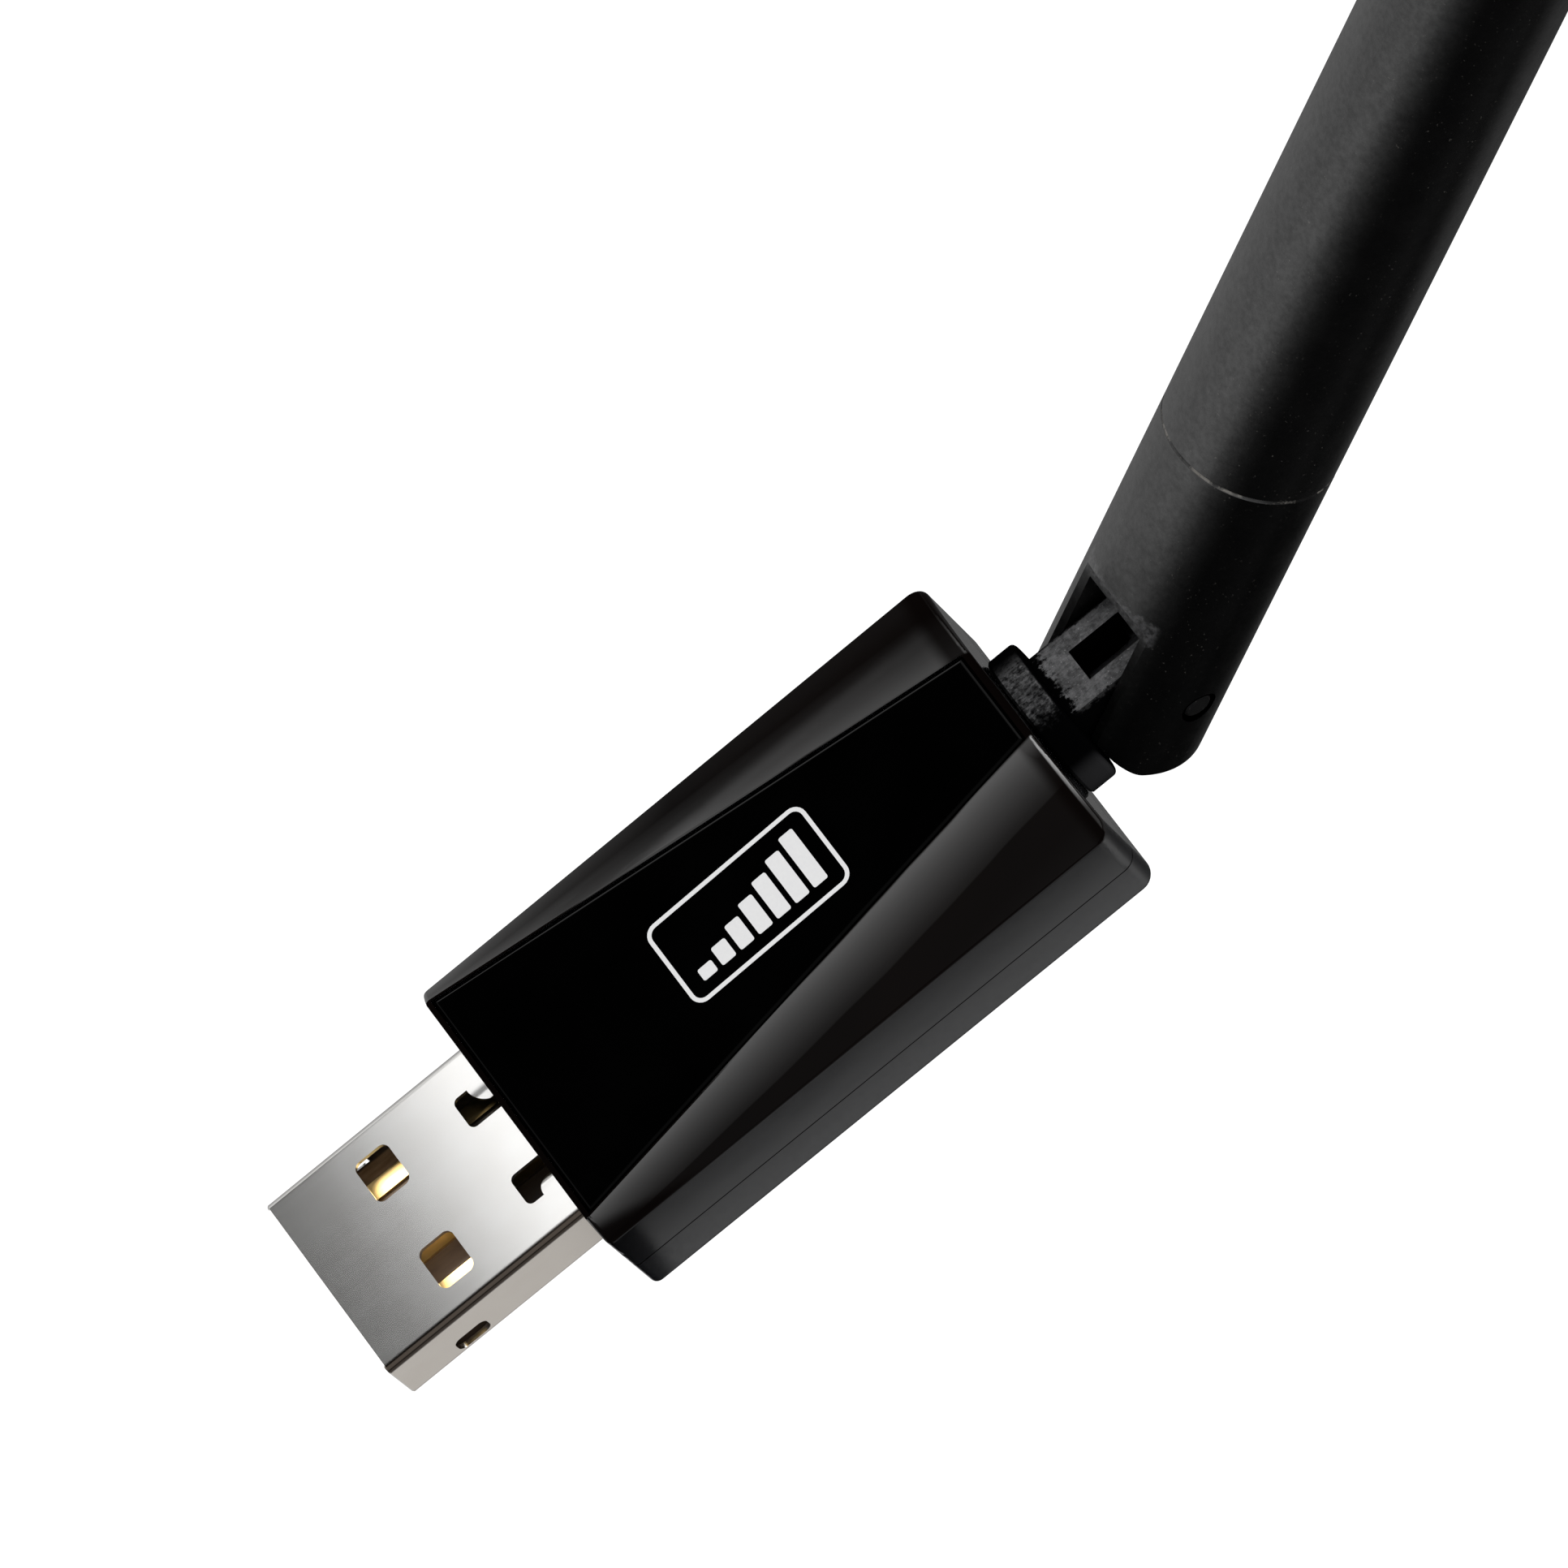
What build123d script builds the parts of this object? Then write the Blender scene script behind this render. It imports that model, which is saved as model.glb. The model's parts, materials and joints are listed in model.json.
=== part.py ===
from build123d import *
import math
import os

# USB wifi adapter with a folding, swivelling rod antenna.
# Millimetres. Origin: centre of the plug's open end. +X runs along the stick
# towards the antenna, +Z out of the top panel, +Y to the left seen from the plug.
# On the antenna, a is measured along it from the hinge pivot, and b across it
# towards the inner side of the bend.

# ---- plug (USB type A) ----
plug_w = 12.0                  # outer width, Y
plug_h = 4.5                   # outer height, Z
plug_wall = 0.3                # sheet thickness
plug_r = 0.5                   # outer corner radius
plug_len = 17.2                # exposed part plus the part in the housing
plug_top = plug_h / 2
plug_clear = 0.02              # clearance round the plug in the housing
in_half_w = plug_w / 2 - plug_wall
in_half_h = plug_top - plug_wall
slot_x, slot_z = 4.45, -0.95   # centre of the side slots
contact_t, contact_w = 0.25, 1.0
contacts = (                   # name, y, x of the front end
    ("contact_vbus", 3.5, 1.15),
    ("contact_data_minus", 1.0, 2.15),
    ("contact_data_plus", -1.0, 2.15),
    ("contact_ground", -3.5, 1.15),
)

# ---- housing ----
x0 = 13.45                     # plug-side end wall
x1 = 47.53                     # antenna-side end wall
end_wall_in = 46.2             # inner face of the antenna-side end wall
half_w = 9.05                  # half width at the crease and below
z_part = -0.56                 # parting plane of the two halves
z_bot = -4.65                  # underside
crease0, crease1 = 3.636, 4.08       # height of the crease at each end
panel_z0, panel_z1 = 5.316, 7.00     # height of the top panel at each end
panel_h0, panel_h1 = 7.79, 3.08      # half width of the top panel at each end
bulge0, bulge1 = 0.05, 0.38          # outward sag of the flanks at each end
corner0, corner1 = 0.4, 1.0          # upright corner radius at each end
wall = 1.3
inner_x0 = x0 + wall           # inner face of the plug-side end wall
floor_z = z_bot + 1.2          # top of the floor
inlay_t = 0.7
rim = 0.10                     # shell rim left beside the inlay
rim_end = 0.34                 # and at its two ends
gap = 0.05                     # general parting gap
neck_hole_r = 2.65
overlap = 0.01                 # depth that added features sink into a wall
peg_spots = ((21.4, 8.4), (21.4, -8.4), (43.6, 8.4), (43.6, -8.4))

# ---- board ----
pcb_t = 0.8
pcb_top = 0.0
support_x = (24.0, 41.6)       # ribs above and ledges below the board
board_pin_spots = ((support_x[0], 6.5), (support_x[1], -6.5))

# ---- swivel ----
axis_z = 0.27                  # height of the swivel axis
flange_r = 3.15
flange_x0, flange_x1 = 45.0, 46.15

# ---- fold hinge and fork ----
pivot_x = 54.9
fold = math.radians(46.5)      # rise of the antenna above the stick's +X axis
fork_r = 4.9
seam_a = 16.6                  # fork and tube seam
seam_bevel = 0.12
spigot_r = 3.6
tube_bore_r = spigot_r + 0.03
pin_r = 0.8

# ---- cable (1.13 mm coax) ----
coax_r = 0.565
coax_bore = 0.85
braid_r = 0.42
dielectric_r = 0.34
wire_r = 0.12                  # centre wire in the antenna
core_r = 0.2                   # simplified core on the board and in the knuckle
cable_a = 3.3                  # where the antenna cable starts

# ---- frames ----
pivot = (pivot_x, 0, axis_z)
along = (math.cos(fold), 0, math.sin(fold))
across = (-math.sin(fold), 0, math.cos(fold))
antenna_axis = Axis(pivot, along)
ant = Plane(origin=pivot, x_dir=across, z_dir=along)           # sections across the antenna
side = Plane(origin=pivot, x_dir=along, z_dir=(0, -1, 0))      # (a, b) profiles
slope = math.atan2(panel_z1 - panel_z0, x1 - x0)
panel_normal = (-math.sin(slope), 0, math.cos(slope))
panel = Plane(origin=(x0, 0, panel_z0), x_dir=(math.cos(slope), 0, math.sin(slope)),
              z_dir=panel_normal)
panel_len = (x1 - x0) / math.cos(slope)

os.makedirs("parts", exist_ok=True)


def save(part, name):
    part.label = name
    export_step(part, "parts/" + name + ".step")


def mirrored(points):
    """Outline made of the points and their mirror image across y = 0."""
    return list(points) + [(x, -y) for x, y in reversed(points)]


# ============================================================================
# Plug
# ============================================================================
def make_plug_shell():
    cutout_r = 0.45                      # corners of the holes and side slots
    hole_x, hole_y = 6.03, 3.10          # retention holes
    hole_l, hole_w = 2.2, 2.7
    slot_l, slot_h = 2.1, 1.35
    window_x, window_l = 11.2, 3.5       # rear windows
    window_y0, window_y1 = 1.75, 3.75    # their inner and outer side
    window_r = 0.38
    window_inset = 0.6                   # start of the windows' square part
    tab_x, tab_y = 12.2, 2.75            # front end and free edge of the tabs
    tab_r, tab_turn = 1.3, 50            # radius and degrees of the curl
    tab_root = 0.05                      # overlap of the tab with the shell
    tab_rear_gap = 0.15
    cut_x0, cut_x1 = tab_x - 0.3, tab_x + 0.85     # cut that rounds the tab's front
    cut_y0, cut_y1 = 2.4, window_y1 - 0.12
    seam_w = 0.08
    leg_profile = [                      # x from the plug's rear end, z
        (-0.5, -1.3), (-0.5, 1.3), (0.8, 1.3), (1.4, 0.6),
        (3.0, 0.6), (3.0, -1.1), (1.4, -1.3),
    ]

    window_w = window_y1 - window_y0
    window_y = (window_y0 + window_y1) / 2
    round_end_x = tab_x + 0.3            # rear of the windows' rounded part

    def curl(sign, radius, degrees):
        turn = math.radians(degrees)
        return (sign * (window_y1 - radius * math.sin(turn)),
                plug_top - tab_r + radius * math.cos(turn))

    with BuildPart() as plug_shell:
        with BuildSketch(Plane.YZ):
            RectangleRounded(plug_w, plug_h, plug_r)
            RectangleRounded(2 * in_half_w, 2 * in_half_h, plug_r - plug_wall + 0.02,
                             mode=Mode.SUBTRACT)
        extrude(amount=plug_len)
        # retention holes, top and bottom
        with BuildSketch(Plane.XY):
            with Locations((hole_x, hole_y), (hole_x, -hole_y)):
                RectangleRounded(hole_l, hole_w, cutout_r)
        extrude(amount=plug_h, both=True, mode=Mode.SUBTRACT)
        # rear windows in the top: rounded in front, square behind
        with BuildSketch(Plane.XY):
            for sign in (-1, 1):
                with Locations(((window_x + round_end_x) / 2, sign * window_y)):
                    RectangleRounded(round_end_x - window_x, window_w, window_r)
                with Locations((window_x + (window_l + window_inset) / 2, sign * window_y)):
                    Rectangle(window_l - window_inset, window_w)
        extrude(amount=plug_h, mode=Mode.SUBTRACT)
        # side slots
        with BuildSketch(Plane.XZ):
            with Locations((slot_x, slot_z)):
                RectangleRounded(slot_l, slot_h, cutout_r)
        extrude(amount=plug_w, both=True, mode=Mode.SUBTRACT)
        # spring tabs, joined along their outer side, curled down to their free edge
        for sign in (-1, 1):
            root_y = sign * (window_y1 + tab_root)
            outer = [curl(sign, tab_r, turn) for turn in (0, tab_turn / 2, tab_turn)]
            inner = [curl(sign, tab_r - plug_wall, turn)
                     for turn in (tab_turn, tab_turn / 2, 0)]
            with BuildSketch(Plane.YZ.offset(tab_x)):
                with BuildLine():
                    Line((root_y, plug_top), outer[0])
                    ThreePointArc(*outer)
                    Line(outer[-1], inner[0])
                    ThreePointArc(*inner)
                    Line(inner[-1], (root_y, plug_top - plug_wall))
                    Line((root_y, plug_top - plug_wall), (root_y, plug_top))
                make_face()
            extrude(amount=window_x + window_l - tab_x - tab_rear_gap)
        # rounded front end of the tabs
        with BuildSketch(Plane.XY):
            for sign in (-1, 1):
                corner = (tab_x, sign * cut_y1)
                arc_end = (cut_x1, sign * (tab_y - 0.02))
                with BuildLine():
                    Polyline((cut_x0, sign * cut_y0), (cut_x0, sign * cut_y1), corner)
                    ThreePointArc(corner, (tab_x + 0.22, sign * (tab_y + 0.33)), arc_end)
                    Polyline(arc_end, (cut_x1, sign * cut_y0), (cut_x0, sign * cut_y0))
                make_face()
        extrude(amount=plug_h, mode=Mode.SUBTRACT)
        # seam along the underside, where the folded sheet meets
        with BuildSketch(Plane.XY.offset(-plug_h)):
            with Locations((plug_len / 2, 0)):
                Rectangle(plug_len + 2, seam_w)
        extrude(amount=plug_h / 2, mode=Mode.SUBTRACT)
        # rear solder legs, left at both sides when the middle is cut away
        with BuildSketch(Plane.XZ):
            with BuildLine():
                Polyline(*[(plug_len + x, z) for x, z in leg_profile], close=True)
            make_face()
        extrude(amount=plug_w / 2, both=True)
        with BuildSketch(Plane.XZ):
            with Locations((plug_len + 1, 0)):
                Rectangle(4.4, 3.2)
        extrude(amount=in_half_w, both=True, mode=Mode.SUBTRACT)
        # lead-in round the open end
        chamfer(plug_shell.edges().group_by(Axis.X)[0], 0.09)
    save(plug_shell.part, "plug_shell")


def make_plug_insulator():
    body_x, body_l = 8.6, 16.6           # centre and length
    body_clear = 0.06
    block_x, block_l = 16.0, 2.0         # raised rear block
    groove_x, groove_l = 9.2, 16.4
    relief_y, relief_z = 5.6, -1.72

    with BuildPart() as plug_insulator:
        with BuildSketch(Plane.XY.offset(-in_half_h)):
            with Locations((body_x, 0)):
                Rectangle(body_l, 2 * in_half_w - body_clear)
        extrude(amount=in_half_h)
        # rear block closing the shell
        with BuildSketch(Plane.XY.offset(-overlap)):
            with Locations((block_x, 0)):
                Rectangle(block_l, 2 * in_half_w - 0.5)
        extrude(amount=in_half_h - 0.02)
        # grooves for the contacts, open through the rear block
        with BuildSketch(Plane.XY):
            with Locations(*[(groove_x, y) for _, y, _ in contacts]):
                Rectangle(groove_l, contact_w)
        extrude(amount=contact_t, mode=Mode.SUBTRACT)
        # clearance along the long lower edges
        chamfer(plug_insulator.edges().filter_by(Axis.X).group_by(Axis.Z)[0], 0.25)
        # side reliefs behind the shell's side slots
        with BuildSketch(Plane.XY.offset(relief_z)):
            with Locations((slot_x + 0.05, -relief_y), (slot_x + 0.05, relief_y)):
                Rectangle(2.7, 0.9)
        extrude(amount=2.0, mode=Mode.SUBTRACT)
        # lead-in along the front top edge
        tip = plug_insulator.faces().sort_by(Axis.X)[0].edges().sort_by(Axis.Z)[-1]
        chamfer(tip, 0.3)
    save(plug_insulator.part, "plug_insulator")


def make_contact(name, contact_y, start_x):
    mid_x, end_x = 14.6, 19.9            # point on the straight top, rear end
    ramp = 0.25                          # sloped front end
    tail_l = 2.3
    notch_y, notch_w = 0.45, 0.3         # cuts beside the narrow tail

    with BuildPart() as strip:
        with BuildSketch(Plane.XZ.offset(-(contact_y + contact_w / 2))):
            with BuildLine():
                Polyline((start_x, 0), (start_x + ramp, contact_t), (mid_x, contact_t),
                         (end_x, contact_t), (end_x, 0), close=True)
            make_face()
        extrude(amount=contact_w)
        # narrow solder tail behind the plug
        with BuildSketch(Plane.XY.offset(-0.2)):
            with Locations((end_x - 1.1, contact_y - notch_y),
                           (end_x - 1.1, contact_y + notch_y)):
                Rectangle(tail_l, notch_w)
        extrude(amount=1.0, mode=Mode.SUBTRACT)
    save(strip.part, name)


# ============================================================================
# Housing
# ============================================================================
def between_ends(x, start, end):
    return start + (end - start) * (x - x0) / (x1 - x0)


def outer_section(x):
    """Crease height, panel height and panel half width."""
    return (between_ends(x, crease0, crease1), between_ends(x, panel_z0, panel_z1),
            between_ends(x, panel_h0, panel_h1))


def flank_mid(x):
    """Middle point (y, z) of the sagging flank."""
    crease_z, top_z, top_half = outer_section(x)
    bulge = between_ends(x, bulge0, bulge1)
    dy, dz = top_half - half_w, top_z - crease_z
    length = math.hypot(dy, dz)
    return ((half_w + top_half) / 2 + bulge * dz / length,
            (crease_z + top_z) / 2 - bulge * dy / length)


def cavity_section(x):
    """Half outline (y, z) of the cavity above its side walls: flank foot, ceiling edge."""
    flank_t, ceiling_t = 1.15, 1.0
    crease_z, top_z, top_half = outer_section(x)
    dy, dz = top_half - half_w, top_z - crease_z
    length = math.hypot(dy, dz)
    flank_y = half_w - flank_t * dz / length
    flank_z = crease_z + flank_t * dy / length
    foot_y = half_w - wall
    ceiling_z = top_z - inlay_t - ceiling_t
    return ((foot_y, flank_z + dz / dy * (foot_y - flank_y)),
            (flank_y + (ceiling_z - flank_z) * dy / dz, ceiling_z))


def inlay_outline(inset):
    return mirrored([
        (rim_end + inset, panel_h0 - rim - 0.05 - inset),
        (panel_len - rim_end - 0.1 - inset, panel_h1 - rim + 0.05 - inset),
    ])


def upright_edges(part):
    """Upright corner edges of the upper half, below the crease."""
    return [e for e in part.edges()
            if abs(e.center().Z - (z_part + crease0) / 2) < 0.6
            and abs(abs(e.center().Y) - half_w) < 0.05 and e.length < 6]


def make_top_shell():
    edge_round = 0.3                     # creases and the edges of both ends
    saddle_w, saddle_l = 0.9, 1.9
    saddle_y = 5.9
    saddle_z = plug_top + plug_clear
    saddle_h = 3.6 - saddle_z
    notch_w, notch_drop = 7.6, 0.5
    rib_l = 1.0
    rib_foot, rib_top = pcb_top + 0.05, 3.2
    ribs = (                             # y, width, centre z, height
        (6.75, 1.1, (rib_top + rib_foot) / 2, rib_top - rib_foot),
        (7.45, 0.7, 1.9, 2.6),
    )

    with BuildPart() as top_shell:
        for x in (x0, x1):
            crease_z, top_z, top_half = outer_section(x)
            mid_y, mid_z = flank_mid(x)
            with BuildSketch(Plane.YZ.offset(x)):
                with BuildLine():
                    Polyline((half_w, crease_z), (half_w, z_part),
                             (-half_w, z_part), (-half_w, crease_z))
                    ThreePointArc((-half_w, crease_z), (-mid_y, mid_z), (-top_half, top_z))
                    Line((-top_half, top_z), (top_half, top_z))
                    ThreePointArc((top_half, top_z), (mid_y, mid_z), (half_w, crease_z))
                make_face()
        loft(ruled=True)
        # upright corners: tight at the plug end, rounder at the antenna end
        fillet([e for e in upright_edges(top_shell) if e.center().X > 40], corner1)
        fillet([e for e in upright_edges(top_shell) if e.center().X < 20], corner0)
        # creases and both ends rounded, the long panel edges left sharp
        boxed = [(e, e.bounding_box()) for e in top_shell.edges()]
        fillet([e for e, box in boxed if box.min.Z > z_part + 0.5
                and not (box.max.X - box.min.X > 25 and e.center().Z > 5)], edge_round)
        # inner cavity
        cavity_faces = []
        for x in (inner_x0, end_wall_in):
            (foot_y, foot_z), (ceiling_y, ceiling_z) = cavity_section(x)
            with BuildSketch(Plane.YZ.offset(x), mode=Mode.PRIVATE) as cavity:
                with BuildLine():
                    Polyline((foot_y, z_part - 1), (foot_y, foot_z), (ceiling_y, ceiling_z),
                             (-ceiling_y, ceiling_z), (-foot_y, foot_z),
                             (-foot_y, z_part - 1), close=True)
                make_face()
            cavity_faces.append(cavity.sketch.faces()[0])
        loft(sections=cavity_faces, ruled=True, mode=Mode.SUBTRACT)
        # recess for the inlay
        with BuildSketch(panel.offset(-inlay_t)):
            with BuildLine():
                Polyline(*inlay_outline(0), close=True)
            make_face()
        extrude(amount=inlay_t + 1, mode=Mode.SUBTRACT)
        # opening for the plug
        with BuildSketch(Plane.YZ.offset(x0 - 0.5)):
            RectangleRounded(plug_w + 2 * plug_clear, plug_h + 2 * plug_clear, plug_r)
        extrude(amount=wall + 1.0, mode=Mode.SUBTRACT)
        # clamping saddle over the plug's hidden part
        with BuildSketch(Plane.YZ.offset(inner_x0 - overlap)):
            with Locations((-saddle_y, (saddle_z + 3.6) / 2), (saddle_y, (saddle_z + 3.6) / 2),
                           (0, (saddle_z + 3.9) / 2)):
                Rectangle(saddle_w, saddle_h)
        extrude(amount=saddle_l)
        # hole and notch for the swivel neck
        with BuildSketch(Plane.YZ.offset(end_wall_in - 0.5)):
            with Locations((0, (axis_z + z_part - notch_drop) / 2)):
                Rectangle(notch_w, axis_z - z_part + notch_drop)
            with Locations((0, axis_z)):
                Circle(neck_hole_r)
        extrude(amount=3.0, mode=Mode.SUBTRACT)
        # ribs that hold the board down
        for x in support_x:
            for rib_y, rib_w, rib_z, rib_h in ribs:
                with BuildSketch(Plane.YZ.offset(x - rib_l / 2)):
                    with Locations((-rib_y, rib_z), (rib_y, rib_z)):
                        Rectangle(rib_w, rib_h)
                extrude(amount=rib_l)
        # sockets for the locating pegs
        with BuildSketch(Plane.XY.offset(z_part)):
            with Locations(*peg_spots):
                Circle(0.36)
        extrude(amount=1.6, mode=Mode.SUBTRACT)
    save(top_shell.part, "top_shell")


def make_bottom_shell():
    joint_gap = 0.09                     # visible joint between the two halves
    bottom_r = 0.9                       # underside edge radius
    bevel, bevel_over = 0.55, 0.2        # plug-side bevel and its overshoot
    saddle_x = inner_x0 + 0.95
    saddle_ys = (5.2, -5.2, 1.5, -1.5)
    end_w = 7.5                          # raised part of the end wall
    end_z0, end_z1 = z_part - gap - 1, axis_z - 0.02
    ledge_y = 6.9
    pin_z, pin_top = -1.5, -0.15         # board pins
    stop_w, stop_l = 0.9, 1.0
    stop_z0, stop_z1 = floor_z - 0.1, axis_z - flange_r - 0.06
    peg_sink, peg_h = 0.2, 1.4           # below the rim, above the parting plane

    with BuildPart() as bottom_shell:
        with BuildSketch(Plane.XY.offset(z_bot)):
            with Locations(((x0 + x1) / 2, 0)):
                Rectangle(x1 - x0, 2 * half_w)
        extrude(amount=z_part - joint_gap - z_bot)
        uprights = bottom_shell.edges().filter_by(Axis.Z)
        fillet([e for e in uprights if e.center().X > 30], corner1)
        uprights = bottom_shell.edges().filter_by(Axis.Z)
        fillet([e for e in uprights if e.center().X < x0 + 0.1 and abs(e.center().Y) > 5],
               corner0)
        under = bottom_shell.faces().sort_by(Axis.Z)[0].edges()
        fillet([e for e in under if e.center().X > x0 + 0.5], bottom_r)
        # small bevel along the lower plug-side edge
        with BuildSketch(Plane.XZ):
            with BuildLine():
                Polyline((x0 - bevel_over, z_bot + bevel), (x0 + bevel, z_bot - bevel_over),
                         (x0 - bevel_over, z_bot - bevel_over), close=True)
            make_face()
        extrude(amount=half_w + 1, both=True, mode=Mode.SUBTRACT)
        # cavity
        with BuildSketch(Plane.XY.offset(floor_z)):
            with Locations(((inner_x0 + end_wall_in) / 2, 0)):
                RectangleRounded(end_wall_in - inner_x0, 2 * (half_w - wall), 0.4)
        extrude(amount=8, mode=Mode.SUBTRACT)
        # opening for the plug
        with BuildSketch(Plane.YZ.offset(x0 - 0.5)):
            RectangleRounded(plug_w + 2 * plug_clear, plug_h + 2 * plug_clear, plug_r)
        extrude(amount=wall + 1.0, mode=Mode.SUBTRACT)
        # saddle under the plug's hidden part
        with BuildSketch(Plane.XY.offset(floor_z - overlap)):
            with Locations(*[(saddle_x, y) for y in saddle_ys]):
                Rectangle(1.92, 0.9)
        extrude(amount=-plug_top - plug_clear - floor_z + overlap)
        # end wall raised behind the collar up to the swivel axis
        with BuildSketch(Plane.YZ.offset(end_wall_in)):
            with Locations((0, (end_z0 + end_z1) / 2)):
                Rectangle(end_w, end_z1 - end_z0)
        extrude(amount=x1 - end_wall_in)
        with BuildSketch(Plane.YZ.offset(end_wall_in - 0.5)):
            with Locations((0, axis_z)):
                Circle(neck_hole_r)
        extrude(amount=3.0, mode=Mode.SUBTRACT)
        # ledges under the board
        with BuildSketch(Plane.XY.offset(floor_z - overlap)):
            with Locations(*[(x, y) for x in support_x for y in (ledge_y, -ledge_y)]):
                Rectangle(1.2, 1.8)
            with Locations((33.0, 0)):
                Rectangle(1.0, 9.0)
        extrude(amount=pcb_top - pcb_t - floor_z + overlap)
        # board locating pins through its two holes
        with BuildSketch(Plane.XY.offset(pin_z)):
            with Locations(*board_pin_spots):
                Circle(0.45)
        extrude(amount=pin_top - pin_z)
        # stop rib for the swivel's lug
        with BuildSketch(Plane.YZ.offset(flange_x0 + 0.05)):
            with Locations((0, (stop_z0 + stop_z1) / 2)):
                Rectangle(stop_w, stop_z1 - stop_z0)
        extrude(amount=stop_l)
        # locating pegs
        with BuildSketch(Plane.XY.offset(z_part - gap - peg_sink)):
            with Locations(*peg_spots):
                Circle(0.32)
        extrude(amount=peg_sink + gap + peg_h)
    save(bottom_shell.part, "bottom_shell")


def make_top_inlay():
    with BuildPart() as top_inlay:
        with BuildSketch(panel.offset(-inlay_t)):
            with BuildLine():
                Polyline(*inlay_outline(gap), close=True)
            make_face()
        extrude(amount=inlay_t)
        outward = Axis((x0, 0, panel_z0), panel_normal)
        fillet(top_inlay.faces().sort_by(outward)[-1].edges(), 0.32)
    save(top_inlay.part, "top_inlay")


# ============================================================================
# Board and what is soldered to it
# ============================================================================
def make_circuit_board():
    pcb_x0, pcb_x1 = 17.3, 44.3
    pcb_half, nose_half = 7.4, 5.6
    shoulder_x = 20.6                    # where the narrow nose ends
    cut = 0.8                            # cut corners at the antenna end
    via_spots = ((39.0, 5.6), (43.2, 2.4), (43.2, -2.4), (22.6, -5.9))

    with BuildPart() as circuit_board:
        with BuildSketch(Plane.XY.offset(pcb_top - pcb_t)):
            with BuildLine():
                Polyline(*mirrored([
                    (pcb_x0, nose_half), (shoulder_x, nose_half), (shoulder_x, pcb_half),
                    (pcb_x1 - cut, pcb_half), (pcb_x1, pcb_half - cut),
                ]), close=True)
            make_face()
            with Locations(*board_pin_spots):
                Circle(0.5, mode=Mode.SUBTRACT)
            with Locations(*via_spots):
                Circle(0.2, mode=Mode.SUBTRACT)
            # notch where the cable dips towards the swivel axis
            with Locations((pcb_x1, 0)):
                SlotCenterToCenter(3.4, 1.4, mode=Mode.SUBTRACT)
        extrude(amount=pcb_t)
    save(circuit_board.part, "circuit_board")


def make_radio_chip():
    chip_x, chip_y, chip_size = 32.5, -0.6, 6.0
    body_z, body_h = 0.05, 0.85
    pad_row = 2.9                        # terminal rows from the chip's centre
    pad_count, pad_pitch = 10, 0.5
    pad_w, pad_l = 0.22, 0.34

    with BuildPart() as radio_chip:
        with BuildSketch(Plane.XY.offset(body_z)):
            with Locations((chip_x, chip_y)):
                RectangleRounded(chip_size, chip_size, 0.15)
        extrude(amount=body_h)
        chamfer(radio_chip.faces().sort_by(Axis.Z)[-1].edges(), 0.1)
        # round dimple in one corner of the top
        with BuildSketch(Plane.XY.offset(body_z + body_h)):
            with Locations((chip_x - 2.3, chip_y + 2.3)):
                Circle(0.25)
        extrude(amount=-0.06, mode=Mode.SUBTRACT)
        # side terminals and the ground pad, down to the board
        with BuildSketch(Plane.XY):
            for i in range(pad_count):
                shift = pad_pitch * (i - (pad_count - 1) / 2)
                with Locations((chip_x + shift, chip_y + pad_row),
                               (chip_x + shift, chip_y - pad_row)):
                    Rectangle(pad_w, pad_l)
                with Locations((chip_x + pad_row, chip_y + shift),
                               (chip_x - pad_row, chip_y + shift)):
                    Rectangle(pad_l, pad_w)
            with Locations((chip_x, chip_y)):
                Rectangle(4.0, 4.0)
        extrude(amount=0.12)
    save(radio_chip.part, "radio_chip")


def make_rf_shield_frame():
    centre = (32.6, -0.55)
    frame_l, frame_w, frame_h = 10.4, 8.6, 1.3
    frame_r = 0.5
    sheet = 0.2
    arch_pitch, arch_count = 2.4, 4

    with BuildPart() as rf_shield_frame:
        with BuildSketch(Plane.XY):
            with Locations(centre):
                RectangleRounded(frame_l, frame_w, frame_r)
                RectangleRounded(frame_l - 2 * sheet, frame_w - 2 * sheet, 0.3,
                                 mode=Mode.SUBTRACT)
        extrude(amount=frame_h)
        # turned-in top flange with its pick-up cross bar
        with BuildSketch(Plane.XY.offset(frame_h - sheet)):
            with Locations(centre):
                RectangleRounded(frame_l, frame_w, frame_r)
                RectangleRounded(8.6, 6.8, 0.8, mode=Mode.SUBTRACT)
                Rectangle(1.0, 8.0)
        extrude(amount=sheet)
        # solder-side arches in both long walls
        with BuildSketch(Plane.XZ):
            for i in range(arch_count):
                with Locations((centre[0] + arch_pitch * (i - (arch_count - 1) / 2), 0.1)):
                    Rectangle(1.0, 0.5)
        extrude(amount=8, both=True, mode=Mode.SUBTRACT)
    save(rf_shield_frame.part, "rf_shield_frame")


def make_crystal_can():
    centre = (25.9, -3.6)
    base_h, lid_h = 0.45, 0.25

    with BuildPart() as crystal_can:
        with BuildSketch(Plane.XY):
            with Locations(centre):
                RectangleRounded(2.5, 3.2, 0.2)
        extrude(amount=base_h)
        with BuildSketch(Plane.XY.offset(base_h)):
            with Locations(centre):
                RectangleRounded(2.2, 2.9, 0.4)
        extrude(amount=lid_h)
        fillet(crystal_can.faces().sort_by(Axis.Z)[-1].edges(), 0.12)
    save(crystal_can.part, "crystal_can")


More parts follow.
